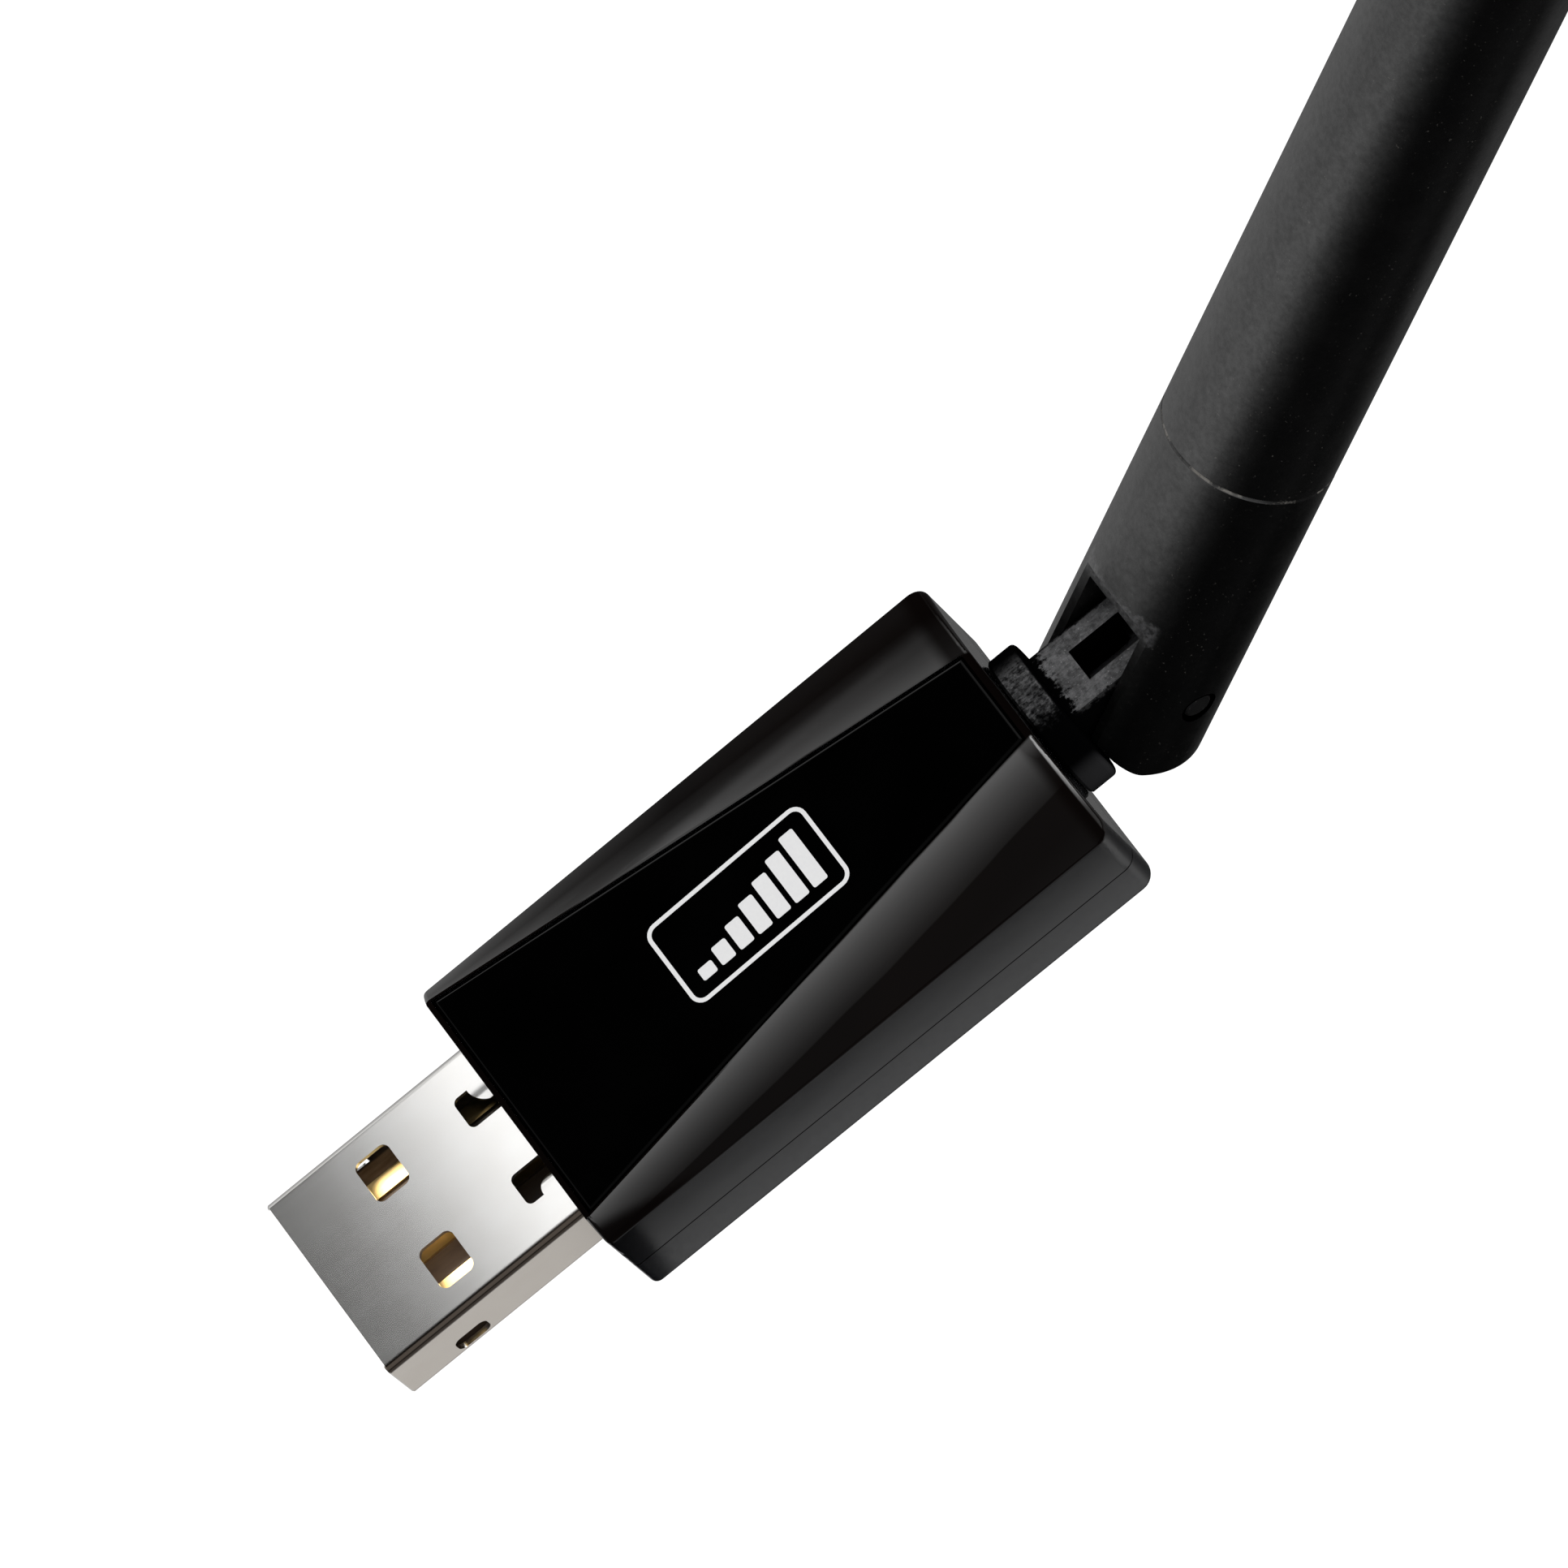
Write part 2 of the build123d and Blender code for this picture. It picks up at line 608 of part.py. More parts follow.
def make_voltage_regulator():
    body_x, body_y = 23.4, 2.4
    leg_w, leg_pitch = 0.4, 0.95
    legs = ((-leg_pitch, (-1, 1)), (0, (-1,)), (leg_pitch, (-1, 1)))   # y shift, x sides
    leg_profile = (                      # x from the body's centre, z
        (1.5, 0), (1.05, 0), (0.9, 0.45), (0.6, 0.5),
        (0.6, 0.65), (1.05, 0.6), (1.15, 0.15), (1.5, 0.15),
    )

    with BuildPart() as voltage_regulator:
        with BuildSketch(Plane.XY.offset(0.1)):
            with Locations((body_x, body_y)):
                Rectangle(1.6, 2.9)
        extrude(amount=1.0)
        chamfer(voltage_regulator.faces().sort_by(Axis.Z)[-1].edges(), 0.15)
        # gull-wing legs, three on the plug side and two on the other
        for shift, signs in legs:
            for sign in signs:
                with BuildSketch(Plane(origin=(body_x, body_y + shift + leg_w / 2, 0),
                                       x_dir=(1, 0, 0), z_dir=(0, -1, 0))):
                    with BuildLine():
                        Polyline(*[(sign * x, z) for x, z in leg_profile], close=True)
                    make_face()
                extrude(amount=leg_w)
    save(voltage_regulator.part, "voltage_regulator")


def make_power_inductor():
    centre = (24.2, -0.4)
    end_l, end_w, end_r = 2.5, 2.0, 0.3
    end_t, core_h = 0.3, 0.5             # end plates and the round core between

    with BuildPart() as power_inductor:
        with BuildSketch(Plane.XY):
            with Locations(centre):
                RectangleRounded(end_l, end_w, end_r)
        extrude(amount=end_t)
        with BuildSketch(Plane.XY.offset(end_t)):
            with Locations(centre):
                Circle(0.8)
        extrude(amount=core_h)
        with BuildSketch(Plane.XY.offset(end_t + core_h)):
            with Locations(centre):
                RectangleRounded(end_l, end_w, end_r)
        extrude(amount=end_t)
    save(power_inductor.part, "power_inductor")


def make_chip_group(name, spots, length, width, height):
    """Bevelled blocks at (x, y, turned); a turned block lies along Y."""
    bevel = min(length, width) * 0.09
    blocks = []
    for x, y, turned in spots:
        size_x, size_y = (width, length) if turned else (length, width)
        block = Pos(x, y, height / 2) * Box(size_x, size_y, height)
        blocks.append(block.chamfer(bevel, None, block.edges()))
    save(Compound(children=blocks), name)


capacitor_spots = (
    (21.9, -2.6, True), (21.9, -4.4, True), (26.2, 1.6, False),
    (26.2, 3.2, False), (28.4, 5.1, True), (30.4, 5.1, True),
    (34.6, 5.2, False), (40.4, 3.2, True), (40.4, -3.0, True),
)
resistor_spots = (
    (26.6, -6.3, False), (28.4, -6.0, True), (30.2, -6.0, True),
    (32.0, -6.0, True), (37.0, -6.2, False), (39.4, -5.6, True),
)


def make_status_led():
    centre = (38.2, 6.0)
    base_l, lens_l, width = 1.6, 1.1, 0.8
    base_h, lens_h = 0.3, 0.35

    with BuildPart() as status_led:
        with BuildSketch(Plane.XY):
            with Locations(centre):
                Rectangle(base_l, width)
        extrude(amount=base_h)
        with BuildSketch(Plane.XY.offset(base_h)):
            with Locations(centre):
                Rectangle(lens_l, width)
        extrude(amount=lens_h, taper=8)
    save(status_led.part, "status_led")


# ============================================================================
# Swivel: collar, neck, retaining flange and hinge tongue in one moulding
# ============================================================================
def make_swivel_knuckle():
    neck_r = 2.6
    collar_r = 4.38
    collar_x0, collar_x1 = 47.58, 49.37
    tongue_half, tongue_r = 2.2, 3.0     # half width in Y; half height and end radius
    tongue_x0 = collar_x1 - 0.4
    channel_half = 1.0
    channel_x0, channel_x1 = collar_x1 + 2.05, collar_x1 + 2.6   # sloped end of the floor
    bore_x0 = flange_x0 - 1
    reach = 5                            # how far the channel cut runs past the part

    with BuildPart() as swivel_knuckle:
        # flange with its lug
        with BuildSketch(Plane.YZ.offset(flange_x0)):
            with Locations((0, axis_z)):
                Circle(flange_r)
            with Locations((0, axis_z + 3.0)):
                Rectangle(0.9, 1.1)
        extrude(amount=flange_x1 - flange_x0)
        # neck
        with BuildSketch(Plane.YZ.offset(flange_x1)):
            with Locations((0, axis_z)):
                Circle(neck_r)
        extrude(amount=collar_x0 - flange_x1)
        # collar
        with BuildSketch(Plane.YZ.offset(collar_x0)):
            with Locations((0, axis_z)):
                Circle(collar_r)
        extrude(amount=collar_x1 - collar_x0)
        fillet([e for e in swivel_knuckle.edges().filter_by(GeomType.CIRCLE)
                if abs(e.radius - collar_r) < 0.01 and e.center().X > collar_x1 - 0.05], 0.3)
        chamfer([e for e in swivel_knuckle.edges().filter_by(GeomType.CIRCLE)
                 if abs(e.radius - collar_r) < 0.01 and e.center().X < collar_x0 + 0.05], 0.15)
        # tongue with its full-round end
        with BuildSketch(Plane.XZ):
            with Locations(((tongue_x0 + pivot_x) / 2, axis_z)):
                Rectangle(pivot_x - tongue_x0, 2 * tongue_r)
            with Locations((pivot_x, axis_z)):
                Circle(tongue_r)
        extrude(amount=tongue_half, both=True)
        chamfer([e for e in swivel_knuckle.edges()
                 if abs(abs(e.center().Y) - tongue_half) < 0.01
                 and e.center().X > collar_x1 + 0.3 and e.length > 4], 0.2)
        # cable channel, open at the top and the end
        with BuildSketch(Plane.XZ):
            with BuildLine():
                Polyline((channel_x0, axis_z + reach), (channel_x0, axis_z - 0.9),
                         (channel_x1, axis_z - 1.4), (pivot_x + reach, axis_z - 1.4),
                         (pivot_x + reach, axis_z + reach), close=True)
            make_face()
        extrude(amount=channel_half, both=True, mode=Mode.SUBTRACT)
        # cable bore through flange, neck and collar
        with BuildSketch(Plane.YZ.offset(bore_x0)):
            with Locations((0, axis_z)):
                Circle(coax_bore)
        extrude(amount=channel_x1 - bore_x0, mode=Mode.SUBTRACT)
        # bores for the stub pins
        with BuildSketch(Plane.XZ):
            with Locations((pivot_x, axis_z)):
                Circle(0.85)
        extrude(amount=6, both=True, mode=Mode.SUBTRACT)
    save(swivel_knuckle.part, "swivel_knuckle")


# ============================================================================
# Antenna fork
# ============================================================================
def make_antenna_fork():
    fork_a0 = -5.4                       # free end
    spigot_l, spigot_root = 6.0, 0.5
    flat_b = 4.0                         # flat on the inner side
    flat_a, shoulder_a, shoulder_b = 4.75, 5.95, 5.2
    relief_r = 5.45
    slot_half, slot_a1 = 2.3, 4.2
    slot_bevel = 0.6
    web_b = -3.05                        # floor of the slot
    clear = 7                            # cuts end this far out, beyond the fork
    half_cut = 6                         # half width of the cuts right across
    seat_y, seat_r = 4.42, 0.95          # pin seats

    # the relief arc, from the free end to the flat
    relief_b = math.sqrt(relief_r ** 2 - fork_a0 ** 2)
    relief_a = -math.sqrt(relief_r ** 2 - flat_b ** 2)
    mid_turn = (math.atan2(relief_b, fork_a0) + math.atan2(flat_b, relief_a)) / 2
    relief_mid = (relief_r * math.cos(mid_turn), relief_r * math.sin(mid_turn))

    with BuildPart() as antenna_fork:
        with BuildSketch(ant.offset(fork_a0)):
            Circle(fork_r)
        extrude(amount=seam_a - fork_a0)
        end_circles = antenna_fork.edges().filter_by(GeomType.CIRCLE)
        fillet(sorted(end_circles, key=lambda e: e.center().X)[0], 0.4)
        # seam relief
        end_circles = antenna_fork.edges().filter_by(GeomType.CIRCLE)
        chamfer(sorted(end_circles, key=lambda e: e.center().X)[-1], seam_bevel)
        # spigot into the tube
        with BuildSketch(ant.offset(seam_a - spigot_root)):
            Circle(spigot_r)
        extrude(amount=spigot_l + spigot_root)
        # flat on the inner side with its slanted shoulder
        with BuildSketch(side):
            with BuildLine():
                Polyline((-clear, flat_b), (flat_a, flat_b), (shoulder_a, shoulder_b),
                         (shoulder_a, 6.5), (-clear, 6.5), close=True)
            make_face()
        extrude(amount=half_cut, both=True, mode=Mode.SUBTRACT)
        # relief at the free end, round about the pivot so that it swings past the collar
        with BuildSketch(side):
            with BuildLine():
                ThreePointArc((fork_a0, relief_b), relief_mid, (relief_a, flat_b))
                Polyline((relief_a, flat_b), (relief_a, clear), (-clear, clear),
                         (-clear, relief_b), (fork_a0, relief_b))
            make_face()
        extrude(amount=half_cut, both=True, mode=Mode.SUBTRACT)
        # slot for the tongue
        with BuildSketch(side):
            with BuildLine():
                Polyline((-clear, web_b), (slot_a1 - slot_bevel, web_b),
                         (slot_a1, web_b + slot_bevel), (slot_a1, clear), (-clear, clear),
                         close=True)
            make_face()
        extrude(amount=slot_half, both=True, mode=Mode.SUBTRACT)
        # cable bore
        with BuildSketch(ant):
            Circle(coax_bore)
        extrude(amount=seam_a + spigot_l + 1, mode=Mode.SUBTRACT)
        # pin bores and the shallow seats round the pin heads
        with BuildSketch(side):
            Circle(pin_r)
        extrude(amount=half_cut, both=True, mode=Mode.SUBTRACT)
        for sign in (1, -1):
            with BuildSketch(Plane(origin=(pivot_x, sign * seat_y, axis_z),
                                   x_dir=(1, 0, 0), z_dir=(0, sign, 0))):
                Circle(seat_r)
            extrude(amount=1.2, mode=Mode.SUBTRACT)
    save(antenna_fork.part, "antenna_fork")


def make_stub_pin(name, sign):
    inner_y, outer_y = 1.12, 4.78
    edge = 0.15
    outer_end, inner_end = (-1, 0) if sign > 0 else (0, -1)

    with BuildPart() as pin:
        with BuildSketch(Plane(origin=(pivot_x, sign * inner_y, axis_z),
                               x_dir=(1, 0, 0), z_dir=(0, sign, 0))):
            Circle(pin_r)
        extrude(amount=outer_y - inner_y)
        fillet(pin.faces().sort_by(Axis.Y)[outer_end].edges(), edge)
        chamfer(pin.faces().sort_by(Axis.Y)[inner_end].edges(), edge)
    save(pin.part, name)


# ============================================================================
# Antenna rod
# ============================================================================
def make_antenna_tube():
    tip_a, tip_r = 104.0, 4.35
    taper_a = 56                         # where the tube starts to narrow
    round_a = tip_a - 3.2                # where the rounded tip starts
    tip_flat_r = 1.6
    tip_inner_a = tip_a - 1.5            # inner face of the closed tip

    with BuildPart() as antenna_tube:
        with BuildSketch(side):
            with BuildLine():
                Polyline((seam_a, tube_bore_r), (seam_a, fork_r - seam_bevel),
                         (seam_a + seam_bevel, fork_r), (taper_a, fork_r))
                Spline((taper_a, fork_r), (78, 4.72), (round_a, tip_r),
                       tangents=((1, 0), (1, -0.03)))
                ThreePointArc((round_a, tip_r), (tip_a - 1.05, tip_r - 1.0),
                              (tip_a, tip_flat_r))
                Polyline((tip_a, tip_flat_r), (tip_a, 0), (tip_inner_a, 0),
                         (tip_inner_a, 1.4), (tip_a - 3.6, 3.2),
                         (taper_a, tube_bore_r), (seam_a, tube_bore_r))
            make_face()
        revolve(axis=antenna_axis, revolution_arc=360)
    save(antenna_tube.part, "antenna_tube")


def make_cable_layer(name, outer_r, inner_r, end_a):
    with BuildPart() as layer:
        with BuildSketch(ant.offset(cable_a)):
            Circle(outer_r)
            Circle(inner_r, mode=Mode.SUBTRACT)
        extrude(amount=end_a - cable_a)
    save(layer.part, name)


sleeve_end_a = 55.4                      # closed end of the radiator sleeve
dielectric_end_a = 57.6


def make_coax_antenna_braid():
    with BuildPart() as coax_antenna_braid:
        with BuildSketch(ant.offset(cable_a)):
            Circle(braid_r)
            Circle(dielectric_r, mode=Mode.SUBTRACT)
        extrude(amount=56.6 - cable_a)
        # solder collar joining the braid to the sleeve's closed end
        with BuildSketch(ant.offset(sleeve_end_a)):
            Circle(1.15)
            Circle(dielectric_r, mode=Mode.SUBTRACT)
        extrude(amount=0.8, taper=12)
    save(coax_antenna_braid.part, "coax_antenna_braid")


def make_radiator_wire():
    rod_r, rod_l = 0.5, 29.0
    wire_end_a = dielectric_end_a + 0.4

    with BuildPart() as radiator_wire:
        with BuildSketch(ant.offset(cable_a)):
            Circle(wire_r)
        extrude(amount=wire_end_a - cable_a)
        with BuildSketch(ant.offset(dielectric_end_a)):
            Circle(rod_r)
        extrude(amount=rod_l)
        fillet(radiator_wire.faces().sort_by(antenna_axis)[-1].edges(), 0.3)
    save(radiator_wire.part, "radiator_wire")


def make_radiator_sleeve():
    start_a = 30.0
    outer_r, inner_r = 2.5, 2.3
    bore_r = coax_r + 0.005
    slit_a, slit_l = 40.5, 25.5          # centre and length

    with BuildPart() as radiator_sleeve:
        with BuildSketch(side):
            with BuildLine():
                Polyline((start_a, inner_r), (start_a, outer_r), (54.7, outer_r),
                         (sleeve_end_a, 1.8), (sleeve_end_a, bore_r), (55.1, bore_r),
                         (55.1, 1.65), (54.6, inner_r), close=True)
            make_face()
        revolve(axis=antenna_axis, revolution_arc=360)
        # slit of the rolled sleeve
        with BuildSketch(side):
            with Locations((slit_a, (outer_r + inner_r) / 2)):
                Rectangle(slit_l, 0.8)
        extrude(amount=0.1, both=True, mode=Mode.SUBTRACT)
    save(radiator_sleeve.part, "radiator_sleeve")


def make_tube_spacer(name, start_a, inner_r, outer_r):
    """Ring with three round notches in its outer edge."""
    with BuildPart() as ring:
        with BuildSketch(ant.offset(start_a)):
            Circle(outer_r)
            Circle(inner_r, mode=Mode.SUBTRACT)
            with PolarLocations(outer_r, 3, start_angle=60):
                Circle(0.8, mode=Mode.SUBTRACT)
        extrude(amount=3.0)
        # bevel the tightest round edge of the end towards the tip
        tip_edges = ring.faces().sort_by(antenna_axis)[-1].edges()
        chamfer(tip_edges.filter_by(GeomType.CIRCLE).sort_by(SortBy.RADIUS)[0], 0.15)
    save(ring.part, name)


# ============================================================================
# Cable on the board and through the joint (one cable, cut at the joints)
# ============================================================================
jacket_x = 40.2                          # where the jacket starts on the board
dip_x0, dip_x1 = 42.0, 44.85             # where the cable dips to the swivel axis
forward = (1, 0, 0)


def make_coax_board_jacket():
    with BuildPart() as coax_board_jacket:
        with BuildLine():
            Line((jacket_x, 0, coax_r), (dip_x0, 0, coax_r))
            Spline((dip_x0, 0, coax_r), (dip_x1, 0, axis_z), tangents=(forward, forward))
        with BuildSketch(Plane.YZ.offset(jacket_x)):
            with Locations((0, coax_r)):
                Circle(coax_r - 0.005)
                Circle(core_r, mode=Mode.SUBTRACT)
        sweep()
    save(coax_board_jacket.part, "coax_board_jacket")


def make_coax_board_core():
    core_x, core_z = 39.0, 0.3           # soldered end
    rise_x = 39.35                       # where it starts to rise into the jacket

    with BuildPart() as coax_board_core:
        with BuildLine():
            Line((core_x, 0, core_z), (rise_x, 0, core_z))
            Spline((rise_x, 0, core_z), (jacket_x, 0, coax_r), tangents=(forward, forward))
            Line((jacket_x, 0, coax_r), (dip_x0, 0, coax_r))
            Spline((dip_x0, 0, coax_r), (dip_x1, 0, axis_z), tangents=(forward, forward))
        with BuildSketch(Plane.YZ.offset(core_x)):
            with Locations((0, core_z)):
                Circle(core_r - 0.01)
        sweep()
        # solder pad joint
        with BuildSketch(Plane.XY):
            with Locations((core_x - 0.05, 0)):
                RectangleRounded(1.0, 1.1, 0.3)
        extrude(amount=0.4)
    save(coax_board_core.part, "coax_board_core")


def make_coax_knuckle_jacket():
    with BuildPart() as coax_knuckle_jacket:
        with BuildSketch(Plane.YZ.offset(flange_x0)):
            with Locations((0, axis_z)):
                Circle(coax_r)
                Circle(core_r, mode=Mode.SUBTRACT)
        extrude(amount=pivot_x - 1.6 - flange_x0)
    save(coax_knuckle_jacket.part, "coax_knuckle_jacket")


def make_coax_knuckle_core():
    with BuildPart() as coax_knuckle_core:
        with BuildSketch(Plane.YZ.offset(flange_x0)):
            with Locations((0, axis_z)):
                Circle(core_r)
        extrude(amount=pivot_x - 1.2 - flange_x0)
    save(coax_knuckle_core.part, "coax_knuckle_core")


# ============================================================================
# Build everything
# ============================================================================
make_plug_shell()
make_plug_insulator()
for contact_name, y, front_x in contacts:
    make_contact(contact_name, y, front_x)

make_top_shell()
make_bottom_shell()
make_top_inlay()

make_circuit_board()
make_radio_chip()
make_rf_shield_frame()
make_crystal_can()
make_voltage_regulator()
make_power_inductor()
make_chip_group("ceramic_capacitors", capacitor_spots, length=1.6, width=0.8, height=0.8)
make_chip_group("chip_resistors", resistor_spots, length=1.0, width=0.5, height=0.35)
make_status_led()

make_swivel_knuckle()
make_antenna_fork()
make_stub_pin("hinge_pin_left", 1)
make_stub_pin("hinge_pin_right", -1)

make_antenna_tube()
make_cable_layer("coax_antenna_jacket", coax_r, braid_r, end_a=53.2)
make_coax_antenna_braid()
make_cable_layer("coax_antenna_dielectric", dielectric_r, wire_r, dielectric_end_a)
make_radiator_wire()
make_radiator_sleeve()
make_tube_spacer("tube_spacer_lower", start_a=33.0, inner_r=2.5, outer_r=tube_bore_r)
make_tube_spacer("tube_spacer_upper", start_a=80.0, inner_r=0.5, outer_r=3.36)

make_coax_board_jacket()
make_coax_board_core()
make_coax_knuckle_jacket()
make_coax_knuckle_core()
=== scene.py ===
import json
import math
from functools import reduce

import bmesh
import bpy
from mathutils import Matrix, Vector


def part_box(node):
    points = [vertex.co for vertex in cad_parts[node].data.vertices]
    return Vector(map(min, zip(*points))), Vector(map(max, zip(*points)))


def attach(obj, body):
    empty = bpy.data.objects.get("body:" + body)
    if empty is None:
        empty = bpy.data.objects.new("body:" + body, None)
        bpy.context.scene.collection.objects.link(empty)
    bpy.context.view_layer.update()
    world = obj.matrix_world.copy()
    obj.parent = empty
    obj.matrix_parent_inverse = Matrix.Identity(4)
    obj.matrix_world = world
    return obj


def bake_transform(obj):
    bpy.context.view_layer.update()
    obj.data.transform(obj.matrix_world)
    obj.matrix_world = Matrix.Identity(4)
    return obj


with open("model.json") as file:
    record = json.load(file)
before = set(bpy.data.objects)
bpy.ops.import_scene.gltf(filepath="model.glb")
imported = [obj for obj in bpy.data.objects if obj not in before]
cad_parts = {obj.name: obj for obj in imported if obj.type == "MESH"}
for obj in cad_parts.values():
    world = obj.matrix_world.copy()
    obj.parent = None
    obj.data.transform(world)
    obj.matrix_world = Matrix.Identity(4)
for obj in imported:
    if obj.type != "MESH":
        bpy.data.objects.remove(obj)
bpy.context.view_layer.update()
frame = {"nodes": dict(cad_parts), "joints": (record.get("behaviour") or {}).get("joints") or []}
nodes = frame["nodes"]
scene = bpy.context.scene
MM = 0.001

# ---------------------------------------------------------------------------
# driving places; all lengths are in mm unless a comment says metres
# ---------------------------------------------------------------------------
fold = next(joint for joint in frame["joints"] if joint["name"] == "antenna_fold")
PIVOT = Vector(fold["pos_m"])               # metres
PIVOT_X, PIVOT_Z = PIVOT.x / MM, PIVOT.z / MM
rest_angle = math.radians(-fold["range_deg"][0])
ROD_COS, ROD_SIN = math.cos(rest_angle), math.sin(rest_angle)
ROD_AXIS = Vector((ROD_COS, 0, ROD_SIN))
ROD_JOINT = 16.6                            # joint of fork and rod, from the pivot along the rod

shell_lo, shell_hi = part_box("top_shell")
HOUSING_X = (shell_lo.x / MM, shell_hi.x / MM)
HOUSING_END = HOUSING_X[1]
END_EDGE = (HOUSING_END - 0.36, HOUSING_END - 0.26)     # where the rounded end edge begins
PANEL_HALF_WIDTH = (7.79, 3.08)             # at the plug end and at the antenna end
CREASE_Y = 9.05                             # outer edge of the flanks beside the panel
SHELL_JOINT_Z = -0.585                      # joint between the two housing halves

# the inlay's sloping top: (x, z) towards the plug and towards the antenna
INLAY_LOW, INLAY_HIGH = (13.45, 5.316), (47.53, 7.00)

BADGE_X = 30.25
BADGE_HALF_LENGTH, BADGE_HALF_WIDTH = 10.75 / 2, 5.4 / 2
BADGE_LINE = 0.24
BADGE_CORNER, BADGE_INNER_CORNER = 0.75, 0.52
INK_GAP, INK_THICKNESS = 0.004, 0.012
BAR_COUNT, BAR_PITCH, BAR_WIDTH = 7, 1.26, 0.94
BAR_FIRST_X, BAR_FOOT = -4.25, -1.75
BAR_FIRST_HEIGHT, BAR_RISE, BAR_CORNER = 0.75, 0.46, 0.12

CABLE_RADIUS = 0.565
CABLE_RIB = 0.012                           # share of the radius lost at every other ring
CABLE_BEFORE, CABLE_AFTER = 1.62, 3.32      # ends of the loop, from the pivot
CABLE_PULL_START, CABLE_PULL_END = 1.35, 1.9        # handles of its curve
CABLE_STEPS, CABLE_SIDES = 28, 20

# ---------------------------------------------------------------------------
# brightness tables
# ---------------------------------------------------------------------------
# painted sheen of the flanks: (position, specular level)
# near flank: position is half the way from panel edge to where the sheen ends
NEAR_FLANK = [
    (0.0, 1.05), (0.10, 0.72), (0.185, 0.52), (0.27, 0.37), (0.355, 0.247),
    (0.44, 0.148), (0.49, 0.11), (0.505, 0.035), (0.80, 0.035), (1.0, 0.05),
]
# that end as a share of the flank's width, at the plug end and at the antenna end
NEAR_SHEEN_END = (0.85, 0.46)
# far flank: position from panel edge to crease
FAR_FLANK = [
    (0.0, 0.62), (0.15, 0.36), (0.30, 0.18), (0.45, 0.07), (0.60, 0.012), (1.0, 0.008),
]
# far flank: position from the plug end to the antenna end
FAR_FLANK_LENGTHWISE = [
    (0.0, 0.28), (0.03, 0.25), (0.13, 0.11), (0.25, 0.060), (0.38, 0.033),
    (0.50, 0.008), (1.0, 0.006),
]
# card over the plug: (x on the plug, brightness)
PLUG_CARD = [
    (-30, 0.08), (0.0, 0.11), (1.3, 0.155), (2.1, 0.20), (3.4, 0.33), (5.55, 0.57),
    (7.7, 0.82), (9.8, 1.08), (12.0, 1.37), (13.3, 1.50), (20.0, 1.6),
]
# card for the housing's near side: (y on the card, brightness)
SIDE_CARD = [
    (-71.0, 0.03), (-40.5, 0.04), (-38.5, 0.085), (-36.8, 0.22), (-35.6, 0.36),
    (-34.0, 0.48), (-29.5, 0.42), (-22.0, 0.20), (-14.0, 0.10), (-3.0, 0.05),
]


# ---------------------------------------------------------------------------
# node helpers
# ---------------------------------------------------------------------------
def rgba(colour):
    """Opaque colour from three channels or from one grey level."""
    return (*colour, 1) if isinstance(colour, tuple) else (colour, colour, colour, 1)


class Graph:
    """Builds a node tree; a value is a number, a tuple or another node's output."""

    def __init__(self, tree, spare_inputs=()):
        self.tree = tree
        self.spare_inputs = spare_inputs    # values for maths inputs past the second
        tree.nodes.clear()

    def put(self, socket, value):
        if hasattr(value, "is_output"):
            self.tree.links.new(value, socket)
        else:
            socket.default_value = rgba(value) if socket.type == "RGBA" else value

    def new(self, kind, props=None, **inputs):
        node = self.tree.nodes.new(kind)
        for key, value in (props or {}).items():
            setattr(node, key, value)
        for key, value in inputs.items():
            self.put(node.inputs[key.replace("_", " ")], value)
        return node

    def remap(self, value, over, to=(0, 1), interpolation="LINEAR"):
        node = self.new("ShaderNodeMapRange", {"interpolation_type": interpolation}, Value=value,
                        From_Min=over[0], From_Max=over[1], To_Min=to[0], To_Max=to[1])
        return node.outputs["Result"]

    def smooth(self, value, over, to=(0, 1)):
        return self.remap(value, over, to, "SMOOTHSTEP")

    def math(self, operation, first, second=0.0):
        node = self.new("ShaderNodeMath", {"operation": operation})
        for socket, value in zip(node.inputs, (first, second, *self.spare_inputs)):
            self.put(socket, value)
        return node.outputs["Value"]

    def add(self, *values):
        return reduce(lambda total, value: self.math("ADD", total, value), values)

    def mul(self, *values):
        return reduce(lambda total, value: self.math("MULTIPLY", total, value), values)

    def sub(self, first, second):
        return self.math("SUBTRACT", first, second)

    def div(self, first, second):
        return self.math("DIVIDE", first, second)

    def larger(self, first, second):
        return self.math("MAXIMUM", first, second)

    def size(self, value):
        return self.math("ABSOLUTE", value)

    def split(self, vector):
        node = self.new("ShaderNodeSeparateXYZ", Vector=vector)
        return node.outputs["X"], node.outputs["Y"], node.outputs["Z"]

    def mix_shaders(self, factor, first, second):
        node = self.new("ShaderNodeMixShader")
        for socket, value in zip(node.inputs, (factor, first, second)):
            self.put(socket, value)
        return node.outputs["Shader"]


